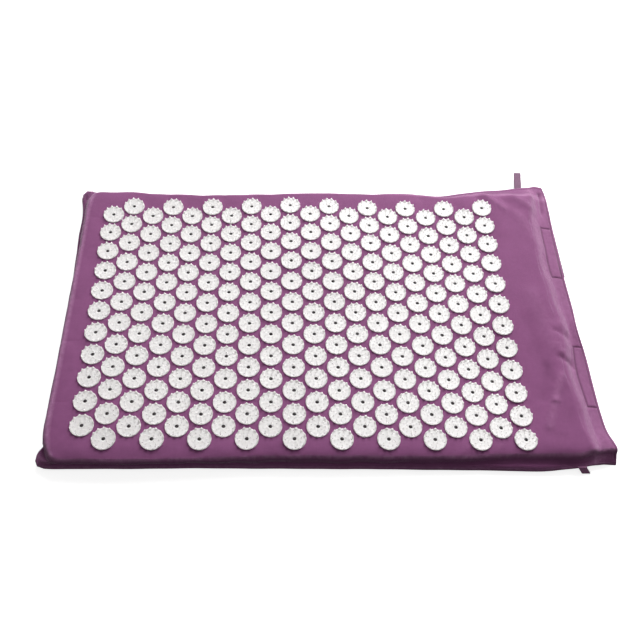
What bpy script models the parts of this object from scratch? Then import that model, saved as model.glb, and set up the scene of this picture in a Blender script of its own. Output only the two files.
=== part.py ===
"""Acupressure mat: a foam slab in a cotton slip cover, with rows of plastic spike discs on its top.

Metres, +Z up. X runs from the closed end of the cover to its mouth, Y from the front to the back.
The origin is on the floor, under the middle of the foam. The underside lies flat at z = 0.
"""

import math

import bmesh
import bpy
from mathutils import Vector
from mathutils.bvhtree import BVHTree

# Cloth and clearances
CLOTH = 0.0010                 # cotton of the cover
CLEARANCE = 0.0003             # between pieces that touch
COVER_GAP = CLOTH + CLEARANCE  # from the foam to the outside of the cover

# Spike discs: staggered columns, every other one with an extra disc
DISC_DIAMETER = 0.028
DISC_PLATE = 0.0012
SPIKE_HEIGHT = 0.0038
SPIKE_INSET = 0.0016           # spike tips stand this far inside the rim
CENTRE_HOLE_DIAMETER = 0.0035
CENTRE_HOLE_FLOOR = 0.0004     # plastic left under the centre hole
COLUMN_PITCH = 0.0275
DISC_PITCH = 0.0328
COLUMN_COUNT = 20
SHORT_COLUMN_DISCS = 11
DISC_SIDES = 10
HOLE_SIDES = 4

# Bare cloth round the field of discs, on the foam
CLOSED_END_MARGIN = 0.0205
MOUTH_END_MARGIN = 0.0690
FRONT_MARGIN = 0.0046
BACK_MARGIN = 0.0136

# Foam slab
FOAM_THICKNESS = 0.0220
END_ROUNDING = 0.0100          # how far the top draws in at the closed end
SIDE_ROUNDING = 0.0040         # and along the front and back
EDGE_DROP = 0.0060             # height of the rounded top edge
BOTTOM_EDGE_DROP = 0.0030
CORNER_PULL = 0.0060           # the corners of the top draw in, and the seam corners stay as ears
CORNER_SPAN = 0.0180
ALONG_LINES = 13
ACROSS_LINES = 8

# Swells of a mat that was stored folded: place along, place across, spread and height
SWELL_HEIGHT = 0.0045
SWELL_SHARES = (
    (-0.34, 0.22, 0.13, -0.80),
    (0.04, 0.36, 0.11, 1.00),
    (0.36, -0.24, 0.10, -0.95),
    (-0.36, -0.50, 0.11, 0.95),
    (0.00, -0.50, 0.10, 0.50),
    (0.37, 0.48, 0.07, 1.00),
)

# Side seam at mid height
SEAM_HEIGHT = 0.0100
SEAM_WIDTH = 0.0040
END_REACH = 0.0100             # from the foam to the root of the seam, at the closed end
SIDE_REACH = 0.0060            # and along the front and back
MOUTH_FLARE = 0.0220           # the flattened mouth is wider than the slab, at the back
FLARE_LENGTH = 0.2900
FLARE_RING_SHARES = (0.25, 0.40, 0.65, 1.00, 1.00)

# Mouth: two lips held by two patches of hook-and-loop tape
TAPE_WIDTH = 0.0160
TAPE_LENGTH = 0.0850
TAPE_THICKNESS = 0.0010
TAPE_EDGE = 0.0005             # cloth beside the tape
FAR_TAPE_FROM_BACK = 0.0930
NEAR_TAPE_FROM_FRONT = 0.1120
LIP_DROP = 0.0080              # steep part of the upper lip, from the ridge to the tapes
TAPE_ROOT_HEIGHT = 0.0115      # between the lips, at the inner edge of the tapes
HEM_HEIGHT = 0.0085            # between the lips, at the hem
HEM_CORNER_REACH = 0.0060      # the corners of the mouth stand out this much further
HEM_CORNER_SPAN = 0.0600

# Hanging loops of folded tape in the side seam
LOOP_TAPE = 0.0008
LOOP_SLOT = 0.0010
LOOP_WIDTH = 0.0105
LOOP_SEWN = 0.0030             # both layers sewn together here
LOOP_FROM_RIDGE = 0.0150
FAR_LOOP_LENGTH = 0.0360
NEAR_LOOP_LENGTH = 0.0112
FAR_LOOP_SLANT = 0.0060
NEAR_LOOP_SLANT = 0.0080
FAR_LOOP_DROOP_SHARE = 0.35    # of the droop that would lay the loop's end on the floor
NEAR_LOOP_DROOP_SHARE = 1.00
FLOOR_CLEARANCE = 0.0006
LOOP_STEPS = 4

# Colours of the materials, linear
PLUM = (0.262, 0.104, 0.218)
DARK_PLUM = (0.150, 0.060, 0.130)
FOAM_CREAM = (0.780, 0.720, 0.560)
SPIKE_WHITE = (0.820, 0.805, 0.790)

# Sizes that follow from the ones above
DISC_RADIUS = DISC_DIAMETER / 2
FIELD_LENGTH = (COLUMN_COUNT - 1) * COLUMN_PITCH + DISC_DIAMETER
FIELD_WIDTH = SHORT_COLUMN_DISCS * DISC_PITCH + DISC_DIAMETER
FOAM_LENGTH = CLOSED_END_MARGIN + FIELD_LENGTH + MOUTH_END_MARGIN
FOAM_WIDTH = FRONT_MARGIN + FIELD_WIDTH + BACK_MARGIN
FIELD_X = (CLOSED_END_MARGIN - MOUTH_END_MARGIN) / 2
FIELD_Y = (FRONT_MARGIN - BACK_MARGIN) / 2
MAT_HEIGHT = FOAM_THICKNESS + 2 * COVER_GAP
RIDGE_X = FOAM_LENGTH / 2 + COVER_GAP
LIP_LENGTH = LIP_DROP + TAPE_WIDTH + 2 * TAPE_EDGE
LIP_HALF_GAP = TAPE_THICKNESS + 1.5 * CLEARANCE
FLANGE_HALF_GAP = CLEARANCE / 2
RINGS = len(FLARE_RING_SHARES)
TIP_RING = RINGS - 1
ROOT_RING = RINGS - 2


def smooth_step(share):
    share = min(max(share, 0.0), 1.0)
    return share * share * (3.0 - 2.0 * share)


def evenly(low, high, count):
    return [low + (high - low) * k / (count - 1) for k in range(count)]


def make_material(name, colour, roughness):
    material = bpy.data.materials.new(name)
    material.use_nodes = True
    shader = material.node_tree.nodes["Principled BSDF"]
    shader.inputs["Base Color"].default_value = (*colour, 1.0)
    shader.inputs["Roughness"].default_value = roughness
    shader.inputs["Metallic"].default_value = 0.0
    return material


def add_object(name, bm, material, location=(0.0, 0.0, 0.0), parent=None):
    """Turn a bmesh in world coordinates into an object whose origin is at location."""
    origin = Vector(location)
    bmesh.ops.translate(bm, verts=bm.verts, vec=-origin)
    mesh = bpy.data.meshes.new(name)
    bm.to_mesh(mesh)
    bm.free()
    mesh.materials.append(material)
    thing = bpy.data.objects.new(name, mesh)
    bpy.context.scene.collection.objects.link(thing)
    thing.location = origin
    if parent is not None:
        thing.parent = parent
        thing.location = origin - parent.location
    return thing


def add_empty(name, location):
    empty = bpy.data.objects.new(name, None)
    bpy.context.scene.collection.objects.link(empty)
    empty.location = location
    return empty


def shade_round(thing, angle=math.radians(40)):
    thing.data.shade_smooth()
    thing.data.set_sharp_from_angle(angle=angle)


# Shape of the top: the flat height of the mat, and broad swells that fade out towards the mouth
def top_height(x, y):
    total = 0.0
    for along_share, across_share, spread_share, height_share in SWELL_SHARES:
        dx = x / FOAM_LENGTH - along_share
        dy = y / FOAM_LENGTH - across_share * FOAM_WIDTH / FOAM_LENGTH
        total += height_share * math.exp(-(dx * dx + dy * dy) / (2 * spread_share * spread_share))
    fade = 1.0 - smooth_step((x - FOAM_LENGTH / 2 + MOUTH_END_MARGIN) / MOUTH_END_MARGIN)
    return MAT_HEIGHT + SWELL_HEIGHT * total * fade


def top_normal(x, y):
    step = DISC_RADIUS / 4
    slope_x = (top_height(x + step, y) - top_height(x - step, y)) / (2 * step)
    slope_y = (top_height(x, y + step) - top_height(x, y - step)) / (2 * step)
    return Vector((-slope_x, -slope_y, 1.0)).normalized()


# Grid lines of the slab and the cover
def along_lines():
    first = -FOAM_LENGTH / 2
    return [first] + evenly(first + CORNER_SPAN, FOAM_LENGTH / 2, ALONG_LINES)


def across_lines():
    half = FOAM_WIDTH / 2
    return [-half] + evenly(CORNER_SPAN - half, half - CORNER_SPAN, ACROSS_LINES) + [half]


def lip_lines():
    first = RIDGE_X + CLEARANCE / 2
    root = RIDGE_X + LIP_DROP
    hem = RIDGE_X + LIP_LENGTH
    return [first, (first + root) / 2, root, (root + hem) / 2, hem]


def flare(x):
    """Extra width at the back, growing towards the hem of the mouth."""
    hem = RIDGE_X + LIP_LENGTH
    return MOUTH_FLARE * smooth_step((x - hem + FLARE_LENGTH) / FLARE_LENGTH)


def hem_reach(y):
    """The corners of the mouth stand out further than its middle."""
    start = FOAM_WIDTH / 2 - HEM_CORNER_SPAN
    return HEM_CORNER_REACH * smooth_step((abs(y) - start) / HEM_CORNER_SPAN)


def edge_profile(rounding, edge_drop, offset=0.0):
    """Rounded edge of the foam, or a skin at an even offset from it, as (out, fall) points.

    out is counted from the foam's outline, and fall from the flat of the foam plus the offset.
    """
    bend = math.pi / 4
    points = [Vector((rounding * math.sin(bend * k) - rounding,
                      edge_drop * math.cos(bend * k) - edge_drop))
              for k in range(3)]
    runs = [Vector((1.0, 0.0))]
    runs += [(end - start).normalized() for start, end in zip(points, points[1:])]
    runs += [Vector((0.0, -1.0))]
    normals = [Vector((-run.y, run.x)) for run in runs]
    profile = []
    for point, before, after in zip(points, normals, normals[1:]):
        place = point + offset * (before + after) / (1.0 + before.dot(after))
        profile.append((place.x, offset - place.y))
    return profile


def ring_out(ring, rounding, edge_drop, reach):
    """How far a ring of the cover's edge lies outside the foam's outline."""
    if ring < ROOT_RING:
        return edge_profile(rounding, edge_drop, COVER_GAP)[ring][0]
    if ring == ROOT_RING:
        return reach
    return reach + SEAM_WIDTH


def between_lips(lip_place):
    """Height of the seam, and of the middle between the two lips of the mouth."""
    if lip_place <= 0.0:
        return SEAM_HEIGHT
    if lip_place < LIP_DROP:
        return SEAM_HEIGHT + (TAPE_ROOT_HEIGHT - SEAM_HEIGHT) * lip_place / LIP_DROP
    share = (lip_place - LIP_DROP) / (LIP_LENGTH - LIP_DROP)
    return TAPE_ROOT_HEIGHT + (HEM_HEIGHT - TAPE_ROOT_HEIGHT) * share


def skin_height(base, ring, fall, lip_place, side):
    """Height of the outside of the cover: side is 1 for the top panel and -1 for the bottom one."""
    middle = between_lips(lip_place)
    flange = middle + side * (FLANGE_HALF_GAP + CLOTH)
    if ring >= ROOT_RING:
        return flange
    rest_flange = SEAM_HEIGHT + side * (FLANGE_HALF_GAP + CLOTH)
    share = (base - side * fall - rest_flange) / (base - rest_flange)
    lip = middle + side * (LIP_HALF_GAP + CLOTH)
    lip = base + (lip - base) * min(max(lip_place / LIP_DROP, 0.0), 1.0)
    return flange + share * (lip - flange)


def skin_point(x, y, signs, ring, side):
    """A point on the outside of the cover. signs says on which edges of the grid the point lies."""
    sign_x, sign_y = signs
    lip_place = max(x - RIDGE_X, 0.0)
    inner_x = x - sign_x * END_ROUNDING
    inner_y = y - sign_y * SIDE_ROUNDING
    base = top_height(inner_x, inner_y) if side > 0 else 0.0
    edge_drop = EDGE_DROP if side > 0 else BOTTOM_EDGE_DROP
    out_x = ring_out(ring, END_ROUNDING, edge_drop, END_REACH)
    out_y = ring_out(ring, SIDE_ROUNDING, edge_drop, SIDE_REACH)
    rounding = END_ROUNDING if sign_x else SIDE_ROUNDING
    fall = edge_profile(rounding, edge_drop, COVER_GAP)[min(ring, 2)][1]
    if sign_y > 0:
        out_y += flare(x) * FLARE_RING_SHARES[ring]
    pull = CORNER_PULL if sign_x and sign_y and ring < ROOT_RING else 0.0
    place_x = x + sign_x * (out_x - pull)
    place_y = y + sign_y * (out_y - pull)
    place_x += hem_reach(y) * lip_place / LIP_LENGTH
    return Vector((place_x, place_y, skin_height(base, ring, fall, lip_place, side)))


def edge_signs(i, j, last_i, last_j, closed):
    sign_x = -1 if i == 0 else 1 if closed and i == last_i else 0
    sign_y = -1 if j == 0 else 1 if j == last_j else 0
    return sign_x, sign_y


def rim_path(last_i, last_j, closed):
    """Grid places round the edge: the front from the mouth end, the closed end, then the back."""
    path = [(i, 0) for i in range(last_i, -1, -1)]
    path += [(0, j) for j in range(1, last_j + 1)]
    path += [(i, last_j) for i in range(1, last_i + 1)]
    if closed:
        path += [(last_i, j) for j in range(last_j - 1, 0, -1)]
    return path


def strip(bm, inner, outer, closed=False, flip=False):
    """Faces between two rows of vertices."""
    count = len(inner)
    steps = count if closed else count - 1
    for k in range(steps):
        nxt = (k + 1) % count
        corners = [inner[k], inner[nxt], outer[nxt], outer[k]]
        bm.faces.new(corners[::-1] if flip else corners)


def grid_faces(bm, rows, flip=False):
    for row, next_row in zip(rows, rows[1:]):
        strip(bm, next_row, row, flip=flip)


def thicken(bm, square_at=None):
    """Close an open sheet into cloth of one thickness, under its faces.

    On the line x = square_at the edge is cut square to X, so that two pieces can meet there.
    """
    bm.normal_update()
    rim = [edge for edge in bm.edges if edge.is_boundary]
    sheet = list(bm.faces)
    inner = {}
    for vert in list(bm.verts):
        normal = vert.normal.copy()
        if square_at is not None and abs(vert.co.x - square_at) < CLEARANCE / 2:
            normal.x = 0.0
            normal.normalize()
        inner[vert] = bm.verts.new(vert.co - normal * CLOTH)
    for face in sheet:
        bm.faces.new([inner[vert] for vert in reversed(face.verts)])
    for edge in rim:
        first, second = edge.verts
        bm.faces.new((first, second, inner[second], inner[first]))
    bmesh.ops.triangulate(bm, faces=bm.faces)
    bmesh.ops.recalc_face_normals(bm, faces=bm.faces)


def panel_sheet(along, across, side):
    """Open sheet of one panel: its middle, its rounded edge on three sides and its seam."""
    bm = bmesh.new()
    last_i = len(along) - 1
    last_j = len(across) - 1
    flip = side < 0

    def corner(i, j, ring):
        signs = edge_signs(i, j, last_i, last_j, False)
        return bm.verts.new(skin_point(along[i], across[j], signs, ring, side))

    rows = [[corner(i, j, 0) for j in range(last_j + 1)] for i in range(last_i + 1)]
    grid_faces(bm, rows, flip)
    path = rim_path(last_i, last_j, False)
    inner = [rows[i][j] for i, j in path]
    for ring in range(1, RINGS):
        outer = [corner(i, j, ring) for i, j in path]
        strip(bm, inner, outer, flip=flip)
        inner = outer
    bmesh.ops.triangulate(bm, faces=bm.faces)
    return bm


def flap_sheet(along, across):
    """Open sheet of the upper lip: one row of points from seam to seam for each line along it."""
    bm = bmesh.new()
    last_j = len(across) - 1
    rows = []
    for x in along:
        row = [(across[0], -1, ring) for ring in range(TIP_RING, 0, -1)]
        row += [(y, -1 if j == 0 else 1 if j == last_j else 0, 0) for j, y in enumerate(across)]
        row += [(across[last_j], 1, ring) for ring in range(1, RINGS)]
        rows.append([bm.verts.new(skin_point(x, y, (0, sign), ring, 1)) for y, sign, ring in row])
    grid_faces(bm, rows)
    bmesh.ops.triangulate(bm, faces=bm.faces)
    return bm


def build_foam_core(material):
    bm = bmesh.new()
    along = along_lines()
    across = across_lines()
    last_i = len(along) - 1
    last_j = len(across) - 1
    bottom = COVER_GAP

    def corner(i, j, share, height_rule):
        sign_x, sign_y = edge_signs(i, j, last_i, last_j, True)
        rounding_x = END_ROUNDING if sign_x < 0 else SIDE_ROUNDING
        inner_x = along[i] - sign_x * rounding_x
        inner_y = across[j] - sign_y * SIDE_ROUNDING
        pull = CORNER_PULL if sign_x and sign_y else 0.0
        x = inner_x + sign_x * (rounding_x * share - pull)
        y = inner_y + sign_y * (SIDE_ROUNDING * share - pull)
        top = top_height(inner_x, inner_y) - COVER_GAP
        return bm.verts.new((x, y, height_rule(top)))

    rows = [[corner(i, j, 0.0, lambda top: top) for j in range(last_j + 1)]
            for i in range(last_i + 1)]
    grid_faces(bm, rows)
    bend = math.sin(math.pi / 4)
    rules = [
        (bend, lambda top: top - EDGE_DROP + EDGE_DROP * bend),
        (1.0, lambda top: top - EDGE_DROP),
        (1.0, lambda top: bottom + BOTTOM_EDGE_DROP),
        (bend, lambda top: bottom + BOTTOM_EDGE_DROP - BOTTOM_EDGE_DROP * bend),
        (0.0, lambda top: bottom),
    ]
    path = rim_path(last_i, last_j, True)
    inner = [rows[i][j] for i, j in path]
    for share, height_rule in rules:
        outer = [corner(i, j, share, height_rule) for i, j in path]
        strip(bm, inner, outer, closed=True)
        inner = outer
    bm.faces.new(inner)
    bmesh.ops.triangulate(bm, faces=bm.faces)
    bmesh.ops.recalc_face_normals(bm, faces=bm.faces)
    shade_round(add_object("foam_core", bm, material))


def build_top_panel(material):
    """The top panel, and a tree of its faces on which the discs are seated."""
    along = along_lines()
    along[-1] = RIDGE_X - CLEARANCE / 2
    bm = panel_sheet(along, across_lines(), 1)
    seat = BVHTree.FromBMesh(bm)
    thicken(bm, along[-1])
    shade_round(add_object("cover_top_panel", bm, material))
    return seat


def build_bottom_panel(material):
    """The bottom panel goes on past the foam as the lower lip of the mouth."""
    along = along_lines()
    along[-1] = RIDGE_X
    bm = panel_sheet(along + lip_lines()[1:], across_lines(), -1)
    thicken(bm)
    shade_round(add_object("cover_bottom_panel", bm, material))


def build_closure_flap(material, hinge):
    """The upper lip of the mouth, which lifts about the ridge over the end of the foam."""
    along = lip_lines()
    bm = flap_sheet(along, across_lines())
    thicken(bm, along[0])
    shade_round(add_object("closure_flap", bm, material, hinge.location, hinge))


def build_closure_tape(name, centre_y, side, material, parent=None):
    """One flat patch of tape between the lips: side is 1 for the hooks above, -1 for the loops."""
    slope = math.atan2(TAPE_ROOT_HEIGHT - HEM_HEIGHT, LIP_LENGTH - LIP_DROP)
    run = Vector((math.cos(slope), 0.0, -math.sin(slope)))
    normal = Vector((math.sin(slope), 0.0, math.cos(slope)))
    middle_place = (LIP_DROP + LIP_LENGTH) / 2
    middle = Vector((RIDGE_X + middle_place, centre_y, between_lips(middle_place)))
    near = normal * side * CLEARANCE / 2
    far = normal * side * (CLEARANCE / 2 + TAPE_THICKNESS)
    bm = bmesh.new()
    rows = []
    for offset in (near, far):
        corners = []
        for run_sign, y_sign in ((-1, -1), (1, -1), (1, 1), (-1, 1)):
            across = Vector((0.0, y_sign * TAPE_LENGTH / 2, 0.0))
            corners.append(bm.verts.new(middle + run * run_sign * TAPE_WIDTH / 2 + across + offset))
        rows.append(corners)
    strip(bm, rows[0], rows[1], closed=True)
    bm.faces.new(rows[0])
    bm.faces.new(rows[1][::-1])
    bmesh.ops.recalc_face_normals(bm, faces=bm.faces)
    location = parent.location if parent else middle
    add_object(name, bm, material, location, parent)


def stadium(start, end, half, steps):
    """Outline of a flat band with round ends, as (place along, height)."""
    points = []
    for k in range(steps + 1):
        angle = math.pi / 2 - math.pi * k / steps
        points.append((end - half + half * math.cos(angle), half * math.sin(angle)))
    for k in range(steps + 1):
        angle = -math.pi / 2 - math.pi * k / steps
        points.append((start + half + half * math.cos(angle), half * math.sin(angle)))
    return points


def build_hanging_loop(name, side, length, slant, droop, material):
    """Folded tape sewn into the side seam: side is 1 at the back and -1 at the front.

    Its root is round, and its hinge runs along the seam through the middle of that rounding.
    """
    half = LOOP_TAPE + LOOP_SLOT / 2
    centre_x = RIDGE_X - LOOP_FROM_RIDGE
    seam_y = FOAM_WIDTH / 2 + SIDE_REACH + SEAM_WIDTH
    if side > 0:
        seam_y += flare(centre_x + LOOP_WIDTH / 2)
    hinge = Vector((centre_x, side * (seam_y + CLEARANCE + half), SEAM_HEIGHT))
    outer = stadium(-half, length - half, half, LOOP_STEPS)
    inner = stadium(LOOP_SEWN, length - half - LOOP_TAPE, LOOP_SLOT / 2, LOOP_STEPS)
    bm = bmesh.new()
    rings = []
    for outline in (outer, inner):
        for x_sign in (-1, 1):
            ring = []
            for along, height in outline:
                shift = slant * max(along, 0.0) / length
                y = along * math.cos(droop) + height * math.sin(droop)
                z = height * math.cos(droop) - along * math.sin(droop)
                place = Vector((x_sign * LOOP_WIDTH / 2 + shift, side * y, z))
                ring.append(bm.verts.new(hinge + place))
            rings.append(ring)
    outer_left, outer_right, inner_left, inner_right = rings
    strip(bm, outer_left, outer_right, closed=True)
    strip(bm, inner_right, inner_left, closed=True)
    strip(bm, outer_right, inner_right, closed=True)
    strip(bm, inner_left, outer_left, closed=True)
    bmesh.ops.triangulate(bm, faces=bm.faces)
    bmesh.ops.recalc_face_normals(bm, faces=bm.faces)
    shade_round(add_object(name, bm, material, hinge))


def droop_to_floor(length):
    """Angle at which the end of a loop comes down to just over the floor."""
    half = LOOP_TAPE + LOOP_SLOT / 2
    drop = SEAM_HEIGHT - half - FLOOR_CLEARANCE
    return math.asin(min(drop / (length - 2 * half), 1.0))


def seat_disc(x, y, seat):
    """Place of a disc's underside: tilted with the cloth, and clear of the highest cloth under it."""
    normal = top_normal(x, y)
    centre = Vector((x, y, top_height(x, y)))
    side = Vector((0.0, 1.0, 0.0)).cross(normal).normalized()
    ahead = normal.cross(side)
    lift = -MAT_HEIGHT
    for share in (0.0, 0.5, 1.0):
        for k in range(DISC_SIDES):
            angle = 2 * math.pi * k / DISC_SIDES
            reach = DISC_RADIUS * share
            point = centre + side * reach * math.cos(angle) + ahead * reach * math.sin(angle)
            above = Vector((point.x, point.y, 2 * MAT_HEIGHT))
            found = seat.ray_cast(above, Vector((0.0, 0.0, -1.0)))[0]
            if found is not None:
                lift = max(lift, found.z - point.z)
    return centre + Vector((0.0, 0.0, lift + CLEARANCE)), side, ahead, normal


def add_disc(bm, x, y, seat, joins):
    """One disc. joins lists the sides that a neck to the next disc takes: 0 at the back, or half way."""
    centre, side, ahead, normal = seat_disc(x, y, seat)

    def ring(count, radius, height, half_sides):
        """Points round the disc, the first at the back or turned on by so many halves of a side."""
        verts = []
        for k in range(count):
            angle = math.pi / 2 + math.pi * (2 * k + half_sides) / count
            place = side * math.cos(angle) + ahead * math.sin(angle)
            verts.append(bm.verts.new(centre + place * radius + normal * height))
        return verts

    foot = ring(DISC_SIDES, DISC_RADIUS, 0.0, -1)
    valley = ring(DISC_SIDES, DISC_RADIUS, DISC_PLATE, -1)
    tips = ring(DISC_SIDES, DISC_RADIUS - SPIKE_INSET, DISC_PLATE + SPIKE_HEIGHT, 0)
    hole = ring(HOLE_SIDES, CENTRE_HOLE_DIAMETER / 2, DISC_PLATE, 0)
    pit = bm.verts.new(centre + normal * CENTRE_HOLE_FLOOR)
    bm.faces.new(foot)
    crown = []
    for k in range(DISC_SIDES):
        nxt = (k + 1) % DISC_SIDES
        if k not in joins:
            bm.faces.new((foot[k], foot[nxt], valley[nxt], valley[k]))
        bm.faces.new((valley[k], valley[nxt], tips[k]))
        crown += [valley[k], tips[k]]
    places = len(crown)
    for k in range(places):
        nxt = (k + 1) % places
        here = hole[k * HOLE_SIDES // places]
        there = hole[nxt * HOLE_SIDES // places]
        bm.faces.new((crown[k], crown[nxt], here))
        if here is not there:
            bm.faces.new((crown[nxt], there, here))
    for k in range(HOLE_SIDES):
        bm.faces.new((hole[k], hole[(k + 1) % HOLE_SIDES], pit))
    return foot, valley


def join_discs(bm, front_disc, back_disc):
    """A flat neck from the back side of one disc to the front side of the next."""
    foot, valley = front_disc
    next_foot, next_valley = back_disc
    opposite = DISC_SIDES // 2
    ends = ((foot[0], foot[1], valley[1], valley[0]),
            (next_foot[opposite + 1], next_foot[opposite],
             next_valley[opposite], next_valley[opposite + 1]))
    strip(bm, ends[0], ends[1], closed=True)


def build_disc_column(number, seat, material):
    """One column of discs from front to back, joined by necks into one body."""
    long_column = number % 2 == 1
    count = SHORT_COLUMN_DISCS + 1 if long_column else SHORT_COLUMN_DISCS
    x = FIELD_X + (number - (COLUMN_COUNT - 1) / 2) * COLUMN_PITCH
    bm = bmesh.new()
    before = None
    for k in range(count):
        y = FIELD_Y + (k - (count - 1) / 2) * DISC_PITCH
        joins = []
        if k < count - 1:
            joins.append(0)
        if k > 0:
            joins.append(DISC_SIDES // 2)
        disc = add_disc(bm, x, y, seat, joins)
        if before is not None:
            join_discs(bm, before, disc)
        before = disc
    bmesh.ops.recalc_face_normals(bm, faces=bm.faces)
    name = "disc_column_%02d" % (number + 1)
    shade_round(add_object(name, bm, material, (x, FIELD_Y, top_height(x, FIELD_Y))))


def clear_scene():
    for thing in list(bpy.data.objects):
        bpy.data.objects.remove(thing, do_unlink=True)


def main():
    clear_scene()
    cotton = make_material("plum cotton", PLUM, 0.75)
    hook_tape = make_material("hook and loop tape", DARK_PLUM, 0.9)
    loop_tape = make_material("plum cotton tape", PLUM, 0.8)
    foam = make_material("cream foam", FOAM_CREAM, 0.95)
    plastic = make_material("white plastic", SPIKE_WHITE, 0.35)

    build_foam_core(foam)
    seat = build_top_panel(cotton)
    build_bottom_panel(cotton)
    hinge = add_empty("closure_hinge", (RIDGE_X, 0.0, MAT_HEIGHT))
    build_closure_flap(cotton, hinge)

    far_y = FOAM_WIDTH / 2 - FAR_TAPE_FROM_BACK
    near_y = NEAR_TAPE_FROM_FRONT - FOAM_WIDTH / 2
    for place, y in (("far", far_y), ("near", near_y)):
        build_closure_tape("hook_tape_" + place, y, 1, hook_tape, hinge)
        build_closure_tape("loop_tape_" + place, y, -1, hook_tape)

    build_hanging_loop("hanging_loop_far", 1, FAR_LOOP_LENGTH, FAR_LOOP_SLANT,
                       FAR_LOOP_DROOP_SHARE * droop_to_floor(FAR_LOOP_LENGTH), loop_tape)
    build_hanging_loop("hanging_loop_near", -1, NEAR_LOOP_LENGTH, NEAR_LOOP_SLANT,
                       NEAR_LOOP_DROOP_SHARE * droop_to_floor(NEAR_LOOP_LENGTH), loop_tape)

    for number in range(COLUMN_COUNT):
        build_disc_column(number, seat, plastic)


main()
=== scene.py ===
"""Looks of an acupressure mat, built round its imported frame. Metres, +Z up, in the frame's own axes:
X from the closed end of the cover to its mouth, Y from the front to the back, the floor at z = 0."""

import math

import bmesh
import bpy
import numpy as np
from mathutils import Euler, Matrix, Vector
from mathutils.bvhtree import BVHTree


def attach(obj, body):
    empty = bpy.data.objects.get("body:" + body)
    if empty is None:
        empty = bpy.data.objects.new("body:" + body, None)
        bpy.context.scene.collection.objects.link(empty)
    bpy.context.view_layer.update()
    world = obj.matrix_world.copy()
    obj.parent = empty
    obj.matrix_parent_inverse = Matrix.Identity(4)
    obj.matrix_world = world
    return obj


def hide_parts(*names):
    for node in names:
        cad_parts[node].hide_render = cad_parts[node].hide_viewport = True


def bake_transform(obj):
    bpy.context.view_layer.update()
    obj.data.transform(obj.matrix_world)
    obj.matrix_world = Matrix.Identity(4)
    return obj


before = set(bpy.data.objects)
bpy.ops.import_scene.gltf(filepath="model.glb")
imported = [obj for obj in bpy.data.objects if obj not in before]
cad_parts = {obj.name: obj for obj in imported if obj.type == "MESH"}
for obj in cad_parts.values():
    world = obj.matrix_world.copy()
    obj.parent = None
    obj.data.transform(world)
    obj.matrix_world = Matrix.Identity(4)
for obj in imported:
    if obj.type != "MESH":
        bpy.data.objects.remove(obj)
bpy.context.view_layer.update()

# Camera and light, fitted to the photograph
CAMERA_PLACE = (-0.0783, -0.5886, 0.8811)
CAMERA_ANGLES_DEG = (33.858, -3.712, -2.001)
CAMERA_LENS_MM = 45.0
CAMERA_SENSOR_MM = 36.0
CAMERA_CLIP = (0.01, 50.0)

# Cloth and clearances, as in the frame
CLOTH = 0.0010
CLEARANCE = 0.0003
COVER_GAP = CLOTH + CLEARANCE
MM = 0.001

# Spike discs
DISC_DIAMETER = 0.028
DISC_PLATE = 0.0012
SPIKE_HEIGHT = 0.0038
CENTRE_HOLE_DIAMETER = 0.0048
COLUMN_PITCH = 0.0275
DISC_PITCH = 0.0328
COLUMN_COUNT = 20
SHORT_COLUMN_DISCS = 11
CLOSED_END_MARGIN = 0.0205
MOUTH_END_MARGIN = 0.0690
FRONT_MARGIN = 0.0046
BACK_MARGIN = 0.0136

# Foam slab and its rounded edges
FOAM_THICKNESS = 0.0220
END_ROUNDING = 0.0050
SIDE_ROUNDING = 0.0040
EDGE_DROP = 0.0060
BOTTOM_EDGE_DROP = 0.0030
CORNER_PULL = 0.0025
CORNER_SPAN = 0.0120
SWELL_HEIGHT = 0.0045
SWELL_SHARES = (
    (-0.34, 0.22, 0.13, -0.80),
    (0.04, 0.36, 0.11, 1.00),
    (0.36, -0.24, 0.10, -0.95),
    (-0.36, -0.50, 0.11, 0.95),
    (0.00, -0.50, 0.10, 0.50),
    (0.37, 0.48, 0.07, 1.00),
)

# Side seam and mouth
SEAM_HEIGHT = 0.0100
SEAM_WIDTH = 0.0040
END_REACH = 0.0100
SIDE_REACH = 0.0060
MOUTH_FLARE = 0.0220
FLARE_LENGTH = 0.2900
FLARE_SHARES = (0.25, 0.40, 0.65, 1.00, 1.00)
FLARE_START = 0.0600
TAPE_WIDTH = 0.0160
TAPE_LENGTH = 0.0850
TAPE_THICKNESS = 0.0010
TAPE_EDGE = 0.0005
FAR_TAPE_FROM_BACK = 0.0930
NEAR_TAPE_FROM_FRONT = 0.1120
LIP_DROP = 0.0080
TAPE_ROOT_HEIGHT = 0.0115
HEM_HEIGHT = 0.0085

# Outlines of the mouth, as (place across, shift along): the hem and the ridge against their straight lines
HEM_SHIFTS = (
    (-0.217, 0.0066), (-0.200, 0.0048), (-0.178, 0.0010), (-0.150, -0.0006), (-0.110, -0.0014),
    (-0.070, -0.0012), (-0.020, -0.0016), (0.067, -0.0036), (0.120, -0.0030), (0.165, -0.0022),
    (0.200, -0.0010), (0.220, -0.0010), (0.240, -0.0032),
)
RIDGE_SHIFTS = (
    (-0.210, 0.0050), (-0.140, 0.0018), (-0.081, -0.0030), (-0.045, 0.0015), (-0.015, 0.0035),
    (0.020, -0.0010), (0.045, -0.0022), (0.078, -0.0062), (0.120, -0.0056), (0.165, -0.0036),
    (0.200, 0.0010), (0.220, 0.0025),
)

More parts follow.
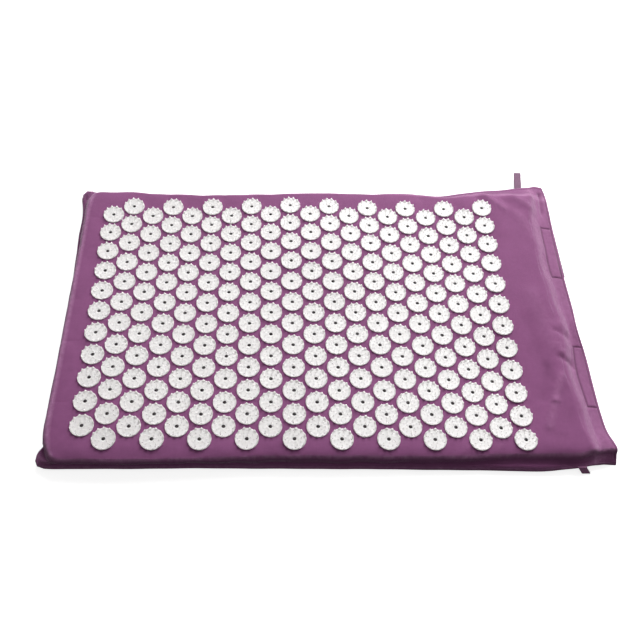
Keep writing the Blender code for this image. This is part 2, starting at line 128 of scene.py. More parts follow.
# Outlines of the other three sides, as (place, shift outwards of the rounded edge, and of the seam)
END_OUTLINE = (
    (-0.208, -0.0005, 0.0030), (-0.196, 0.0025, 0.0026), (-0.186, 0.0060, -0.0044),
    (-0.174, 0.0082, -0.0038), (-0.150, 0.0088, -0.0046), (-0.121, 0.0084, -0.0040),
    (-0.041, 0.0072, -0.0050), (0.020, 0.0065, -0.0050), (0.093, 0.0056, -0.0052), (0.140, 0.0048, -0.0036),
    (0.182, 0.0030, -0.0034), (0.197, 0.0005, 0.0000), (0.212, -0.0010, 0.0000),
)
FRONT_OUTLINE = (
    (-0.330, 0.0050, -0.0026), (-0.290, 0.0064, -0.0026), (-0.227, 0.0078, -0.0024),
    (-0.187, 0.0066, -0.0024), (-0.130, 0.0050, -0.0023), (-0.078, 0.0032, -0.0014),
    (0.030, 0.0038, -0.0002), (0.145, 0.0035, 0.0014), (0.205, 0.0015, 0.0024), (0.278, 0.0012, 0.0032),
    (0.302, 0.0010, 0.0010), (0.315, -0.0030, -0.0020), (0.329, -0.0055, -0.0042), (0.349, -0.0060, -0.0048),
)
BACK_OUTLINE = (
    (-0.330, 0.0010, 0.0030), (-0.315, 0.0000, 0.0028), (-0.309, 0.0000, -0.0024), (-0.297, 0.0000, -0.0030),
    (-0.263, 0.0012, -0.0020), (-0.230, -0.0008, -0.0020), (-0.150, -0.0024, -0.0026),
    (-0.090, -0.0010, -0.0010), (-0.030, 0.0008, 0.0005), (0.080, 0.0020, 0.0020), (0.117, 0.0032, 0.0030),
    (0.150, 0.0012, 0.0006), (0.187, -0.0050, -0.0048), (0.228, -0.0022, -0.0022), (0.298, 0.0010, 0.0010),
    (0.334, 0.0032, 0.0028), (0.350, 0.0030, 0.0020),
)
OUTLINE_SPAN = 0.0400
BOTTOM_SWELL = 0.0065
BOTTOM_SWELL_END = 0.2850
BOTTOM_SWELL_FADE = 0.0360

# The sewn edge hangs a little: at the closed end, the front and the back
END_DROOP = 0.0022
BACK_DROOP = 0.0015
BACK_DROOP_END = 0.2700
BACK_DROOP_FADE = 0.0500
FRONT_DROOP = (
    (-0.330, 0.0034), (0.100, 0.0034), (0.200, 0.0042), (0.260, 0.0040), (0.296, 0.0018), (0.313, 0.0018),
    (0.328, 0.0034), (0.350, 0.0040),
)
CORNER_ROOT_DROOP = 0.5
CORNER_DROOP_START = 0.3130
CORNER_DROOP_FADE = 0.0150

# The upper lip stands open at places across: place, spread, lift, draw back and where along it that starts
GAPES = (
    (-0.020, 0.026, 0.0048, 0.0042, 0.2),
    (-0.203, 0.028, 0.0105, 0.0000, -0.7),
)
RIDGE_SOFTNESS = 0.0085
RIDGE_RUN = 0.0170
MOUTH_SPAN = 0.0450
SEAM_WAVE = 0.0006
SEAM_WAVE_LENGTHS = (0.113, 0.087, 0.049)
SEAM_WAVE_STARTS = (1.3, 0.7, 0.0)
SEAM_WAVE_SHARES = (1.0, 1.0, 0.7)
SEAM_WAVE_RING = 1.6
RIDGE_SLACK = 0.0060
WALL_CURVE = 1.25

# Hanging loops
LOOP_TAPE = 0.0008
LOOP_SLOT = 0.0010
LOOP_WIDTH = 0.0105
LOOP_SEWN = 0.0030
LOOP_FROM_RIDGE = 0.0150
FAR_LOOP_LENGTH = 0.0360
NEAR_LOOP_LENGTH = 0.0112
FAR_LOOP_SLANT = 0.0060
NEAR_LOOP_SLANT = 0.0080
FAR_LOOP_DROOP_SHARE = 0.35
NEAR_LOOP_DROOP_SHARE = 1.00
FLOOR_CLEARANCE = 0.0006

# Sizes that follow
DISC_RADIUS = DISC_DIAMETER / 2
FOAM_LENGTH = CLOSED_END_MARGIN + (COLUMN_COUNT - 1) * COLUMN_PITCH + DISC_DIAMETER + MOUTH_END_MARGIN
FOAM_WIDTH = FRONT_MARGIN + SHORT_COLUMN_DISCS * DISC_PITCH + DISC_DIAMETER + BACK_MARGIN
FIELD_X = (CLOSED_END_MARGIN - MOUTH_END_MARGIN) / 2
FIELD_Y = (FRONT_MARGIN - BACK_MARGIN) / 2
MAT_HEIGHT = FOAM_THICKNESS + 2 * COVER_GAP
RIDGE_X = FOAM_LENGTH / 2 + COVER_GAP
LIP_LENGTH = LIP_DROP + TAPE_WIDTH + 2 * TAPE_EDGE
HEM_X = RIDGE_X + LIP_LENGTH
LIP_HALF_GAP = TAPE_THICKNESS + 1.5 * CLEARANCE
FLANGE_HALF_GAP = CLEARANCE / 2
FAR_TAPE_Y = FOAM_WIDTH / 2 - FAR_TAPE_FROM_BACK
NEAR_TAPE_Y = NEAR_TAPE_FROM_FRONT - FOAM_WIDTH / 2
START_X = END_ROUNDING - FOAM_LENGTH / 2
HALF_Y = FOAM_WIDTH / 2 - SIDE_ROUNDING
ROOT_RING = 3.0
TIP_RING = 4.0

# Mesh of the cover
GRID_STEP = 0.0045
LIP_STEP = 0.0013
FINE_GRID_REACH = 0.0140
RING_STOPS = (0.35, 0.7, 1.05, 1.4, 1.75, 2.1, 2.35, 2.6, 2.8, 3.0, 3.45, 4.0)

# How the cloth settles
SETTLE_FRAMES = 18
MOST_SETTLING = 0.0014
SMOOTH_PASSES = 8
TINY = 1e-9
CLOTH_SETTINGS = {
    "quality": 6, "mass": 0.15, "tension_stiffness": 15, "compression_stiffness": 15, "shear_stiffness": 5,
    "bending_stiffness": 0.4, "use_pressure": True, "uniform_pressure_force": 1.5, "shrink_min": -0.006,
}

# Stitches, and the grooves that the closure's stitches draw into the upper lip
THREAD = 0.00045
STITCH_LENGTH = 0.0030
STITCH_GAP = 0.0009
STITCH_RISES = (-0.35, 0.22, 0.38, 0.22, -0.35)
STITCH_GIRTHS = (0.6, 1.0, 1.05, 1.0, 0.6)
STITCH_SIDES = 6
SEAM_STITCH_RING = 3.35
SEAM_STITCH_STEP = 0.0015
LIP_STITCH_STEP = 0.0010
RAY_START = 0.0800
BOX_SET_BACK = 0.0002
BOX_OVERHANG = 0.0015
HEM_STITCH_INSET = 0.0028
BOX_INNER = LIP_DROP - BOX_SET_BACK
BOX_HALF_LENGTH = TAPE_LENGTH / 2 + BOX_OVERHANG
HEM_STITCH = LIP_LENGTH - HEM_STITCH_INSET
GROOVE_WIDTH = 0.0011
INNER_GROOVE = 0.0014
END_GROOVE = 0.0014
HEM_GROOVE = 0.0010

# Painted highlights, partly real wear, and painted shade of the cloth, from 0 to 1, along its edges, ridges
# and folds
EDGE_HIGHLIGHT_AND_WEAR = 1.0
EDGE_HIGHLIGHT_RING = 0.8
EDGE_HIGHLIGHT_SPREAD = 0.6
END_HIGHLIGHT_RING = 1.3
TIP_HIGHLIGHT_SPREAD = 0.4
HEM_HIGHLIGHT_AND_WEAR = 0.9
HEM_HIGHLIGHT_WIDTH = 0.0008
RIDGE_PAINTED_HIGHLIGHT = 0.8
RIDGE_HIGHLIGHT_BACK = 0.0005
RIDGE_HIGHLIGHT_WIDTH = 0.0070
LIP_PAINTED_LIGHT = 0.34
FOLD_FULL = 0.0030
FOLD_PAINTED_HIGHLIGHT = 0.40
EAR_PAINTED_HIGHLIGHT = 0.80
EAR_HIGHLIGHT_FULL = 0.0022
FOLD_SHADE = 0.22
CREASE_SHADE_SHARE = 0.6


# Shapes shared by the pieces
def smooth_step(share):
    """Rises smoothly from 0 to 1 as share does."""
    share = np.clip(share, 0.0, 1.0)
    return share * share * (3.0 - 2.0 * share)


def hump(at, centre, spread):
    """Bell curve of height 1."""
    return np.exp(-((at - centre) / spread) ** 2)


def curve_through(points, at):
    """Smooth curve through (place, value) points, read at many places."""
    places = np.array([p[0] for p in points])
    values = np.array([p[1] for p in points])
    slopes = np.gradient(values, places)
    at = np.clip(at, places[0], places[-1])
    k = np.clip(np.searchsorted(places, at) - 1, 0, len(places) - 2)
    span = places[k + 1] - places[k]
    t = (at - places[k]) / span
    rise = values[k + 1] - values[k]
    start = slopes[k] * span - rise
    end = -slopes[k + 1] * span + rise
    return (1 - t) * values[k] + t * values[k + 1] + t * (1 - t) * ((1 - t) * start + t * end)


def top_height(x, y):
    """Height of the cover's top, with the broad swells of a mat that was stored folded."""
    total = 0.0
    for along_share, across_share, spread_share, height_share in SWELL_SHARES:
        dx = x / FOAM_LENGTH - along_share
        dy = y / FOAM_LENGTH - across_share * FOAM_WIDTH / FOAM_LENGTH
        total = total + height_share * np.exp(-(dx * dx + dy * dy) / (2 * spread_share * spread_share))
    fade = 1.0 - smooth_step((x - FOAM_LENGTH / 2 + MOUTH_END_MARGIN) / MOUTH_END_MARGIN)
    return MAT_HEIGHT + SWELL_HEIGHT * total * fade


def flare(x):
    """How much wider the cover is at the back near its mouth."""
    return MOUTH_FLARE * smooth_step((x - HEM_X + FLARE_LENGTH) / FLARE_LENGTH)


def disc_places():
    """Centres of the discs, column by column."""
    columns = []
    for number in range(COLUMN_COUNT):
        count = SHORT_COLUMN_DISCS + number % 2
        x = FIELD_X + (number - (COLUMN_COUNT - 1) / 2) * COLUMN_PITCH
        columns.append([(x, FIELD_Y + (k - (count - 1) / 2) * DISC_PITCH) for k in range(count)])
    return columns


def between_lips(lip_place):
    """Height of the plane where the two lips meet."""
    lip_place = np.asarray(lip_place, float)
    steep = SEAM_HEIGHT + (TAPE_ROOT_HEIGHT - SEAM_HEIGHT) * lip_place / LIP_DROP
    share = (lip_place - LIP_DROP) / (LIP_LENGTH - LIP_DROP)
    flat = TAPE_ROOT_HEIGHT + (HEM_HEIGHT - TAPE_ROOT_HEIGHT) * share
    return np.where(lip_place <= 0.0, SEAM_HEIGHT, np.where(lip_place < LIP_DROP, steep, flat))


def edge_curve(rounding, edge_drop, ring):
    """Skin at an even offset from the foam's rounded edge, as distances out and down. ring runs to 2."""
    turn = np.minimum(ring, 2.0) * math.pi / 4
    slope_out = edge_drop * np.sin(turn)
    slope_up = rounding * np.cos(turn)
    size = np.hypot(slope_out, slope_up)
    out = rounding * (np.sin(turn) - 1.0) + COVER_GAP * slope_out / size
    fall = edge_drop * (1.0 - np.cos(turn)) + COVER_GAP * (1.0 - slope_up / size)
    return out, fall


def seam_wave(x, y):
    """The seam of a real cover isn't a straight line."""
    waves = zip((x, y, x + y), SEAM_WAVE_LENGTHS, SEAM_WAVE_STARTS, SEAM_WAVE_SHARES)
    total = sum(share * np.sin(2 * math.pi * at / length + start) for at, length, start, share in waves)
    return SEAM_WAVE * total / sum(SEAM_WAVE_SHARES)


def ridges(points, table):
    """Heights of soft ridges and creases. Each has a start, an end, a half width and a height."""
    total = np.zeros(len(points))
    for start, end, half_width, height in table:
        start = np.array(start)
        run = np.array(end) - start
        along = ((points[:, :2] - start) @ run) / (run @ run)
        nearest = start + np.clip(along, 0.0, 1.0)[:, None] * run
        away = np.linalg.norm(points[:, :2] - nearest, axis=1)
        total += height * hump(away, 0.0, half_width)
    return total


def outline(table, column, at):
    return curve_through([(row[0], row[column]) for row in table], at)


def outline_shift(x, y, wall, side):
    """How far the outline stands off its straight lines, as shifts along x and y."""
    shifts = []
    for table, at in ((END_OUTLINE, y), (FRONT_OUTLINE, x), (BACK_OUTLINE, x)):
        seam = outline(table, 2, at)
        swell = BOTTOM_SWELL * (1.0 - smooth_step((x - BOTTOM_SWELL_END) / BOTTOM_SWELL_FADE))
        edge = outline(table, 1, at) if side > 0 else seam + swell
        shifts.append(edge + (seam - edge) * wall)
    near_end = smooth_step((START_X + OUTLINE_SPAN - x) / OUTLINE_SPAN)
    near_side = smooth_step((np.abs(y) - HALF_Y + OUTLINE_SPAN) / OUTLINE_SPAN)
    return -shifts[0] * near_end, np.where(y > 0, shifts[2], -shifts[1]) * near_side


def corner_pull(x, y):
    """The corners of the slab at the closed end are round, so the cover draws in there."""
    from_end = np.clip(1.0 - (x - START_X) / CORNER_SPAN, 0.0, 1.0)
    from_side = np.clip(1.0 - (HALF_Y - np.abs(y)) / CORNER_SPAN, 0.0, 1.0)
    return CORNER_PULL * from_end ** 2 * from_side ** 2


def mouth_shift(x, y):
    """Shift along x of the cover near its mouth, whose ridge and hem aren't straight."""
    along = np.clip((x - RIDGE_X) / LIP_LENGTH, 0.0, 1.0)
    reach = smooth_step((x - RIDGE_X + MOUTH_SPAN) / MOUTH_SPAN)
    return curve_through(RIDGE_SHIFTS, y) * reach * (1.0 - along) + curve_through(HEM_SHIFTS, y) * along


def stitch_groove(lip_place, y):
    """Depth of the grooves along the stitches of the upper lip."""
    depth = HEM_GROOVE * hump(lip_place, HEM_STITCH, GROOVE_WIDTH)
    inner = INNER_GROOVE * hump(lip_place, BOX_INNER, GROOVE_WIDTH)
    within = (lip_place > BOX_INNER) & (lip_place < HEM_STITCH)
    for tape_y in (FAR_TAPE_Y, NEAR_TAPE_Y):
        past = np.abs(y - tape_y) - BOX_HALF_LENGTH
        depth = np.maximum(depth, inner * (1.0 - smooth_step(past / (3 * GROOVE_WIDTH))))
        depth = np.maximum(depth, END_GROOVE * hump(past, 0.0, GROOVE_WIDTH) * within)
    return depth


def skin(x, y, sign_x, sign_y, ring, side):
    """Points on the outside of the cover, from places on its flat part.

    sign_x and sign_y say on which outer lines of the grid a point lies, ring how far down the edge it is:
    0 flat, 2 upright, 3 at the root of the seam and 4 at its tip. side is 1 for the top and -1 for the
    bottom panel. Returns the points and the cloth's own coordinates.
    """
    lip_place = np.maximum(x - RIDGE_X, 0.0)
    edge_drop = EDGE_DROP if side > 0 else BOTTOM_EDGE_DROP
    out_x, fall_x = edge_curve(END_ROUNDING, edge_drop, ring)
    out_y, fall_y = edge_curve(SIDE_ROUNDING, edge_drop, ring)
    fall = np.where(sign_x != 0, fall_x, fall_y)
    wall = np.clip(ring - 2.0, 0.0, 1.0)
    tip = np.maximum(ring - ROOT_RING, 0.0)
    out_x = out_x + (END_REACH - out_x) * wall ** WALL_CURVE + SEAM_WIDTH * tip
    out_y = out_y + (SIDE_REACH - out_y) * wall ** WALL_CURVE + SEAM_WIDTH * tip
    base = top_height(x, y) if side > 0 else np.zeros_like(x)

    # The corners of the top draw in, and the seam stays out as an ear
    pull = corner_pull(x, y) * (1.0 - smooth_step(ring - 2.0))
    shift_x, shift_y = outline_shift(x, y, wall, side)
    px = x + sign_x * (END_ROUNDING + out_x) + pull + shift_x
    py = y + sign_y * (SIDE_ROUNDING + out_y) - np.sign(y) * pull + shift_y

    # The mouth is wider than the slab at the back, and its edges aren't straight
    flare_share = np.interp(ring, (0, 1, 2, 3, 4), FLARE_SHARES)
    inside = FLARE_SHARES[0] * smooth_step((y - HALF_Y + FLARE_START) / FLARE_START)
    py = py + flare(x) * np.where(sign_y > 0, flare_share, inside)
    px = px + mouth_shift(x, py)

    # Heights
    middle = between_lips(lip_place)
    flange = middle + side * (FLANGE_HALF_GAP + CLOTH)
    rest_flange = SEAM_HEIGHT + side * (FLANGE_HALF_GAP + CLOTH)
    full = base - rest_flange
    share = (full - side * fall) / full
    share = np.where(ring < 2.0, share, share * (1.0 - wall))
    ramp = smooth_step((x - RIDGE_X + RIDGE_SOFTNESS) / RIDGE_RUN)
    lip = base + (middle + side * (LIP_HALF_GAP + CLOTH) - base) * ramp
    pz = flange + share * (lip - flange)
    if side > 0:
        for place, spread, lift, draw, start in GAPES:
            gape = hump(y, place, spread)
            gape = gape * smooth_step(((x - RIDGE_X) / LIP_LENGTH - start) / (1.0 - start))
            pz = pz + lift * gape * share
            px = px - draw * gape * share
        pz = pz - stitch_groove(x - RIDGE_X, y) * (ring < ROOT_RING)

    # The sewn edge hangs, waves and stands up at the ears
    back = BACK_DROOP * (1.0 - smooth_step((x - BACK_DROOP_END) / BACK_DROOP_FADE))
    corner = CORNER_ROOT_DROOP * smooth_step((x - CORNER_DROOP_START) / CORNER_DROOP_FADE) * wall
    front = curve_through(FRONT_DROOP, x) * (tip + corner)
    droop = np.where(sign_x != 0, END_DROOP * tip, np.where(y > 0, back * tip, front))
    wave = seam_wave(x, y) * smooth_step(ring - SEAM_WAVE_RING)
    pz = pz + wave - droop
    px = px + sign_x * wave
    py = py + sign_y * wave
    points = np.stack([px, py, pz], axis=-1)
    points[:, 2] += ridges(points, EARS) * wall

    rise = SEAM_HEIGHT * wall * (1.0 if side > 0 else 0.5)
    length_x = np.hypot(out_x + END_ROUNDING, fall_x) + rise
    length_y = np.hypot(out_y + SIDE_ROUNDING, fall_y) + rise
    cloth_x = x + sign_x * length_x + ramp * RIDGE_SLACK
    return points, np.stack([cloth_x, y + sign_y * length_y, np.zeros_like(x)], axis=-1)


# Ears of the seam at the two corners of the closed end
EARS = (
    ((-0.3350, -0.1985), (-0.3265, -0.2090), 0.0045, 0.0030),
    ((-0.3350, 0.2040), (-0.3240, 0.2140), 0.0055, 0.0104),
)

# Soft folds and creases of the top
FOLDS = (
    ((-0.3275, -0.1900), (-0.3200, -0.2080), 0.0032, -0.0040),
    ((-0.3150, 0.2075), (-0.3275, 0.1980), 0.0030, -0.0040),
    ((-0.3000, -0.2080), (0.2900, -0.2080), 0.0090, -0.0018),
    ((0.300, -0.096), (0.285, -0.132), 0.0038, 0.0028),
    ((0.285, -0.132), (0.271, -0.168), 0.0042, 0.0026),
    ((0.284, -0.085), (0.272, -0.130), 0.0060, -0.0016),
    ((0.306, -0.120), (0.296, -0.165), 0.0080, -0.0010),
    ((0.322, -0.077), (0.304, -0.069), 0.0030, -0.0030),
    ((0.318, -0.066), (0.308, -0.060), 0.0030, 0.0016),
    ((0.324, -0.036), (0.306, -0.028), 0.0030, -0.0028),
    ((0.325, -0.024), (0.314, -0.016), 0.0030, 0.0014),
    ((0.3355, 0.222), (0.3325, 0.184), 0.0028, -0.0030),
    ((0.306, 0.120), (0.287, 0.185), 0.0075, 0.0014),
    ((0.236, 0.214), (0.272, 0.178), 0.0036, 0.0020),
    ((0.252, 0.216), (0.292, 0.180), 0.0060, -0.0018),
    ((0.276, 0.218), (0.312, 0.186), 0.0040, 0.0022),
    ((0.294, 0.222), (0.322, 0.198), 0.0060, -0.0014),
    ((0.222, 0.212), (0.246, 0.186), 0.0040, -0.0012),
    ((0.285, 0.030), (0.300, -0.050), 0.0110, 0.0012),
    ((0.268, -0.010), (0.282, -0.100), 0.0080, -0.0009),
    ((0.150, -0.208), (0.166, -0.194), 0.0040, 0.0009),
    ((0.192, -0.208), (0.206, -0.192), 0.0045, 0.0010),
    ((0.228, -0.208), (0.240, -0.188), 0.0045, 0.0010),
    ((-0.212, 0.208), (-0.210, 0.190), 0.0035, -0.0012),
    ((-0.131, 0.208), (-0.134, 0.192), 0.0035, -0.0010),
    ((0.152, 0.212), (0.150, 0.196), 0.0035, -0.0013),
    ((-0.331, 0.021), (-0.314, 0.017), 0.0035, -0.0008),
    ((-0.331, -0.060), (-0.316, -0.056), 0.0040, 0.0007),
    ((-0.200, -0.208), (-0.190, -0.196), 0.0045, -0.0008),
    ((-0.060, -0.208), (-0.052, -0.196), 0.0045, -0.0007),
)


# Small mesh helpers
def new_mesh_object(name, points, faces):
    mesh = bpy.data.meshes.new(name)
    mesh.from_pydata([tuple(p) for p in points], [], [tuple(int(k) for k in f) for f in faces])
    mesh.update()
    mesh.shade_smooth()
    thing = bpy.data.objects.new(name, mesh)
    bpy.context.scene.collection.objects.link(thing)
    return thing


def points_of(mesh):
    co = np.zeros(len(mesh.vertices) * 3, np.float32)
    mesh.vertices.foreach_get("co", co)
    return co.reshape(-1, 3).astype(float)


def set_points(mesh, points):
    mesh.vertices.foreach_set("co", np.asarray(points, np.float32).ravel())
    mesh.update()


def set_attribute(mesh, name, kind, values):
    attribute = mesh.attributes.new(name, kind, "POINT")
    field = "vector" if kind == "FLOAT_VECTOR" else "value"
    attribute.data.foreach_set(field, np.asarray(values, np.float32).ravel())


def keep_modifiers(thing):
    """Make what the modifiers show the object's own mesh."""
    shown = thing.evaluated_get(bpy.context.evaluated_depsgraph_get())
    mesh = bpy.data.meshes.new_from_object(shown, preserve_all_data_layers=True,
                                           depsgraph=bpy.context.evaluated_depsgraph_get())
    thing.modifiers.clear()
    old = thing.data
    thing.data = mesh
    bpy.data.meshes.remove(old)


def join_parts(parts):
    """One list of points and faces out of several."""
    points = []
    faces = []
    for part_points, part_faces in parts:
        start = sum(len(p) for p in points)
        points.append(np.asarray(part_points, float))
        faces += [[k + start for k in face] for face in part_faces]
    return np.concatenate(points), faces


# The cover
def crosswise_lines():
    """Places across of the grid's lines, which stand closer at the ends of the closure's boxes."""
    even = np.linspace(-HALF_Y, HALF_Y, round(2 * HALF_Y / GRID_STEP) + 1)
    ends = [tape_y + half * BOX_HALF_LENGTH for tape_y in (FAR_TAPE_Y, NEAR_TAPE_Y) for half in (-1, 1)]
    extra = np.array([end + step * GROOVE_WIDTH for end in ends for step in (-2, -1, 0, 1, 2)])
    apart = np.abs(even[:, None] - extra[None, :]).min(axis=1)
    return np.sort(np.concatenate([even[apart > GROOVE_WIDTH], extra]))


def rim_of(last_i, last_j):
    """Places on three sides of a grid, from the mouth's front corner round the closed end to its back one."""
    rim = [(i, 0) for i in range(last_i, -1, -1)] + [(0, j) for j in range(1, last_j + 1)]
    return rim + [(i, last_j) for i in range(1, last_i + 1)]


def grid_faces(last_i, last_j):
    row = last_j + 1
    return [(a * row + row + b, a * row + row + b + 1, a * row + b + 1, a * row + b)
            for a in range(last_i) for b in range(last_j)]


def ring_faces(inner, start, levels, closed):
    """Faces from a rim over the rings of points that follow it, and the last of these rings."""
    count = len(inner)
    faces = []
    for level in range(levels):
        outer = list(range(start + level * count, start + (level + 1) * count))
        faces += [(inner[k], inner[(k + 1) % count], outer[(k + 1) % count], outer[k])
                  for k in range(count if closed else count - 1)]
        inner = outer
    return faces, inner


def panel(side):
    """Grid of one panel with its rounded edge and seam on three sides."""
    flat_end = RIDGE_X - FINE_GRID_REACH
    count = round((flat_end - START_X) / GRID_STEP)
    lip_count = round((HEM_X - flat_end) / LIP_STEP)
    along = np.concatenate([np.linspace(START_X, flat_end, count + 1),
                            np.linspace(flat_end, HEM_X, lip_count + 1)[1:]])
    across = crosswise_lines()
    last_i = len(along) - 1
    last_j = len(across) - 1
    grid = [(i, j, 0.0) for i in range(last_i + 1) for j in range(last_j + 1)]
    rim = rim_of(last_i, last_j)
    places = grid + [(i, j, ring) for ring in RING_STOPS for i, j in rim]
    i, j, ring = (np.array(values) for values in zip(*places))
    sign_x = np.where(i == 0, -1.0, 0.0)
    sign_y = np.where(j == 0, -1.0, np.where(j == last_j, 1.0, 0.0))
    points, cloth = skin(along[i], across[j], sign_x, sign_y, ring, side)
    inner = [a * len(across) + b for a, b in rim]
    faces = grid_faces(last_i, last_j) + ring_faces(inner, len(grid), len(RING_STOPS), False)[0]
    if side < 0:
        faces = [face[::-1] for face in faces]
    return points, faces, cloth, along[i], ring


def pinned_points(points, ring):
    """Where the cloth is held: at the seam, under each disc and along the lip."""
    held = ring >= ROOT_RING
    for column in disc_places():
        for disc_x, disc_y in (drifted(*place) for place in column):
            held |= (ring == 0.0) & (np.hypot(points[:, 0] - disc_x, points[:, 1] - disc_y) < DISC_RADIUS)
    return held | (points[:, 0] > RIDGE_X + 0.5 * LIP_DROP)


def smoothed(mesh, move, held):
    """Even out each point's move with its neighbours', so that uneven cells leave no lines in the cloth."""
    edges = np.array([edge.vertices[:] for edge in mesh.edges])
    counts = np.bincount(edges.ravel(), minlength=len(move))[:, None]
    for step in range(SMOOTH_PASSES):
        total = np.zeros_like(move)
        np.add.at(total, edges[:, 0], move[edges[:, 1]])
        np.add.at(total, edges[:, 1], move[edges[:, 0]])
        move = (move + total / counts) / 2
        move[held] = 0.0
    return move


def relax_cloth(thing, held):
    """Let the cloth settle between the points that are held, and keep each move small."""
    group = thing.vertex_groups.new(name="held")
    group.add([int(k) for k in np.nonzero(held)[0]], 1.0, "REPLACE")
    cloth = thing.modifiers.new("settle", "CLOTH")
    settings = cloth.settings
    settings.vertex_group_mass = "held"
    for key, value in CLOTH_SETTINGS.items():
        setattr(settings, key, value)
    settings.effector_weights.gravity = 0
    cloth.collision_settings.use_collision = False
    cloth.point_cache.frame_start = 1
    cloth.point_cache.frame_end = SETTLE_FRAMES
    scene = bpy.context.scene
    for number in range(1, SETTLE_FRAMES + 1):
        scene.frame_set(number)
    shown = thing.evaluated_get(bpy.context.evaluated_depsgraph_get())
    before = points_of(thing.data)
    after = points_of(shown.data)
    thing.modifiers.clear()
    thing.vertex_groups.clear()
    scene.frame_set(1)
    move = smoothed(thing.data, after - before, held)
    size = np.linalg.norm(move, axis=1)
    move *= np.minimum(1.0, MOST_SETTLING / np.maximum(size, TINY))[:, None]
    set_points(thing.data, before + move)


def skin_tree(thing):
    return BVHTree.FromPolygons([Vector(p) for p in points_of(thing.data)],
                                [tuple(f.vertices) for f in thing.data.polygons])


def thicken(thing):
    thickness = thing.modifiers.new("thickness", "SOLIDIFY")
    thickness.thickness = CLOTH
    thickness.offset = -1.0
    keep_modifiers(thing)


def subdivide(thing):
    smoother = thing.modifiers.new("smoother", "SUBSURF")
    smoother.levels = smoother.render_levels = 1
    keep_modifiers(thing)


def build_cover(side):
    """One panel of the cover, and a tree of its outside that other pieces are laid on."""
    points, faces, cloth, x, ring = panel(side)
    thing = new_mesh_object("cover_top" if side > 0 else "cover_bottom", points, faces)
    set_attribute(thing.data, "thread", "FLOAT_VECTOR", cloth)
    lip_place = x - RIDGE_X
    # Painted highlights: lighter cloth on the rounded edges, the seam's tip, the closed end, the hem, the
    # ridge, the lip, fold crests and ears, where light and sheen fall; along the edges partly real wear.
    highlight_and_wear = EDGE_HIGHLIGHT_AND_WEAR * hump(ring, EDGE_HIGHLIGHT_RING, EDGE_HIGHLIGHT_SPREAD) * (ring > 0)
    highlight_and_wear += EDGE_HIGHLIGHT_AND_WEAR * hump(ring, TIP_RING, TIP_HIGHLIGHT_SPREAD)
    highlight_and_wear += EDGE_HIGHLIGHT_AND_WEAR * (x < START_X + MM) * (ring < END_HIGHLIGHT_RING)
    highlight_and_wear += HEM_HIGHLIGHT_AND_WEAR * (x > HEM_X - HEM_HIGHLIGHT_WIDTH)
    highlight_and_wear += RIDGE_PAINTED_HIGHLIGHT * hump(lip_place, -RIDGE_HIGHLIGHT_BACK, RIDGE_HIGHLIGHT_WIDTH)
    highlight_and_wear += LIP_PAINTED_LIGHT * smooth_step(lip_place / LIP_DROP) * (ring < ROOT_RING)
    # Painted shade: darker cloth in the hollows of folds and in the grooves along the lip's stitches.
    crease_shade = np.zeros(len(points))
    if side > 0:
        folds = ridges(points, FOLDS) / FOLD_FULL
        highlight_and_wear += FOLD_PAINTED_HIGHLIGHT * np.clip(folds, 0.0, 1.0)
        highlight_and_wear += EAR_PAINTED_HIGHLIGHT * np.clip(ridges(points, EARS) / EAR_HIGHLIGHT_FULL, 0.0, 1.0) * (ring > ROOT_RING - 1)
        crease_shade = FOLD_SHADE * np.clip(-folds, 0.0, 1.0)
        crease_shade += stitch_groove(lip_place, cloth[:, 1]) / INNER_GROOVE
    set_attribute(thing.data, "highlight_and_wear", "FLOAT", np.clip(highlight_and_wear, 0.0, 1.0))
    set_attribute(thing.data, "crease_shade", "FLOAT", np.clip(crease_shade, 0.0, 1.0) * (ring < ROOT_RING))
    if side > 0:
        relax_cloth(thing, pinned_points(points, ring))
        settled = points_of(thing.data)
        settled[:, 2] += ridges(settled, FOLDS) * (ring < ROOT_RING)
        set_points(thing.data, settled)
    subdivide(thing)
    seat = skin_tree(thing)
    thicken(thing)
    return thing, seat


# The foam
FOAM_STEP = 0.0080
FOAM_TURNS = (0.0, 0.125, 0.25, 0.375, 0.5)
FOAM_SET_BACK = 0.0020
LOOK_SIDES = 8
LOOK_REACH = 0.6


def foam_shift(x, y):
    """The slab's sides follow the cover's outline, but stay inside the seam."""
    edge_x, edge_y = outline_shift(x, y, 0.0, 1)
    seam_x, seam_y = outline_shift(x, y, 1.0, 1)
    out_x = np.minimum(-edge_x, END_REACH - FOAM_SET_BACK - seam_x)
    out_y = np.minimum(np.sign(y) * edge_y, SIDE_REACH - FOAM_SET_BACK + np.sign(y) * seam_y)
    return -out_x, np.sign(y) * out_y


def foam_points(x, y, sign_x, sign_y, turn, half):
    """Points of the slab: turn runs from 0 on a flat face to a quarter turn on its upright edge."""
    out = np.sin(turn * math.pi)
    fall = 1.0 - np.cos(turn * math.pi)
    rounding = np.where(sign_x < 0, END_ROUNDING, SIDE_ROUNDING)
    shift_x, shift_y = foam_shift(x, y)
    pull = corner_pull(x, y)
    px = x + sign_x * rounding * out + shift_x + pull + np.minimum(mouth_shift(x, y), 0.0)
    py = y + sign_y * SIDE_ROUNDING * out + shift_y - np.sign(y) * pull
    upper = top_height(x, y) - COVER_GAP - EDGE_DROP * fall
    lower = COVER_GAP + BOTTOM_EDGE_DROP * fall
    return np.stack([px, py, np.where(half > 0, upper, lower)], axis=-1)


def keep_under(points, seat):
    """Lower the slab's top where the cover is drawn down into it."""
    for index in np.nonzero(points[:, 2] > MAT_HEIGHT / 2)[0]:
        for k in range(LOOK_SIDES + 1):
            reach = LOOK_REACH * FOAM_STEP if k else 0.0
            angle = 2 * math.pi * k / LOOK_SIDES
            x = points[index, 0] + reach * math.cos(angle)
            y = points[index, 1] + reach * math.sin(angle)
            found = seat.ray_cast(Vector((x, y, 2 * MAT_HEIGHT)), Vector((0.0, 0.0, -1.0)))[0]
            if found is not None:
                points[index, 2] = min(points[index, 2], max(found.z - COVER_GAP, MAT_HEIGHT / 2))


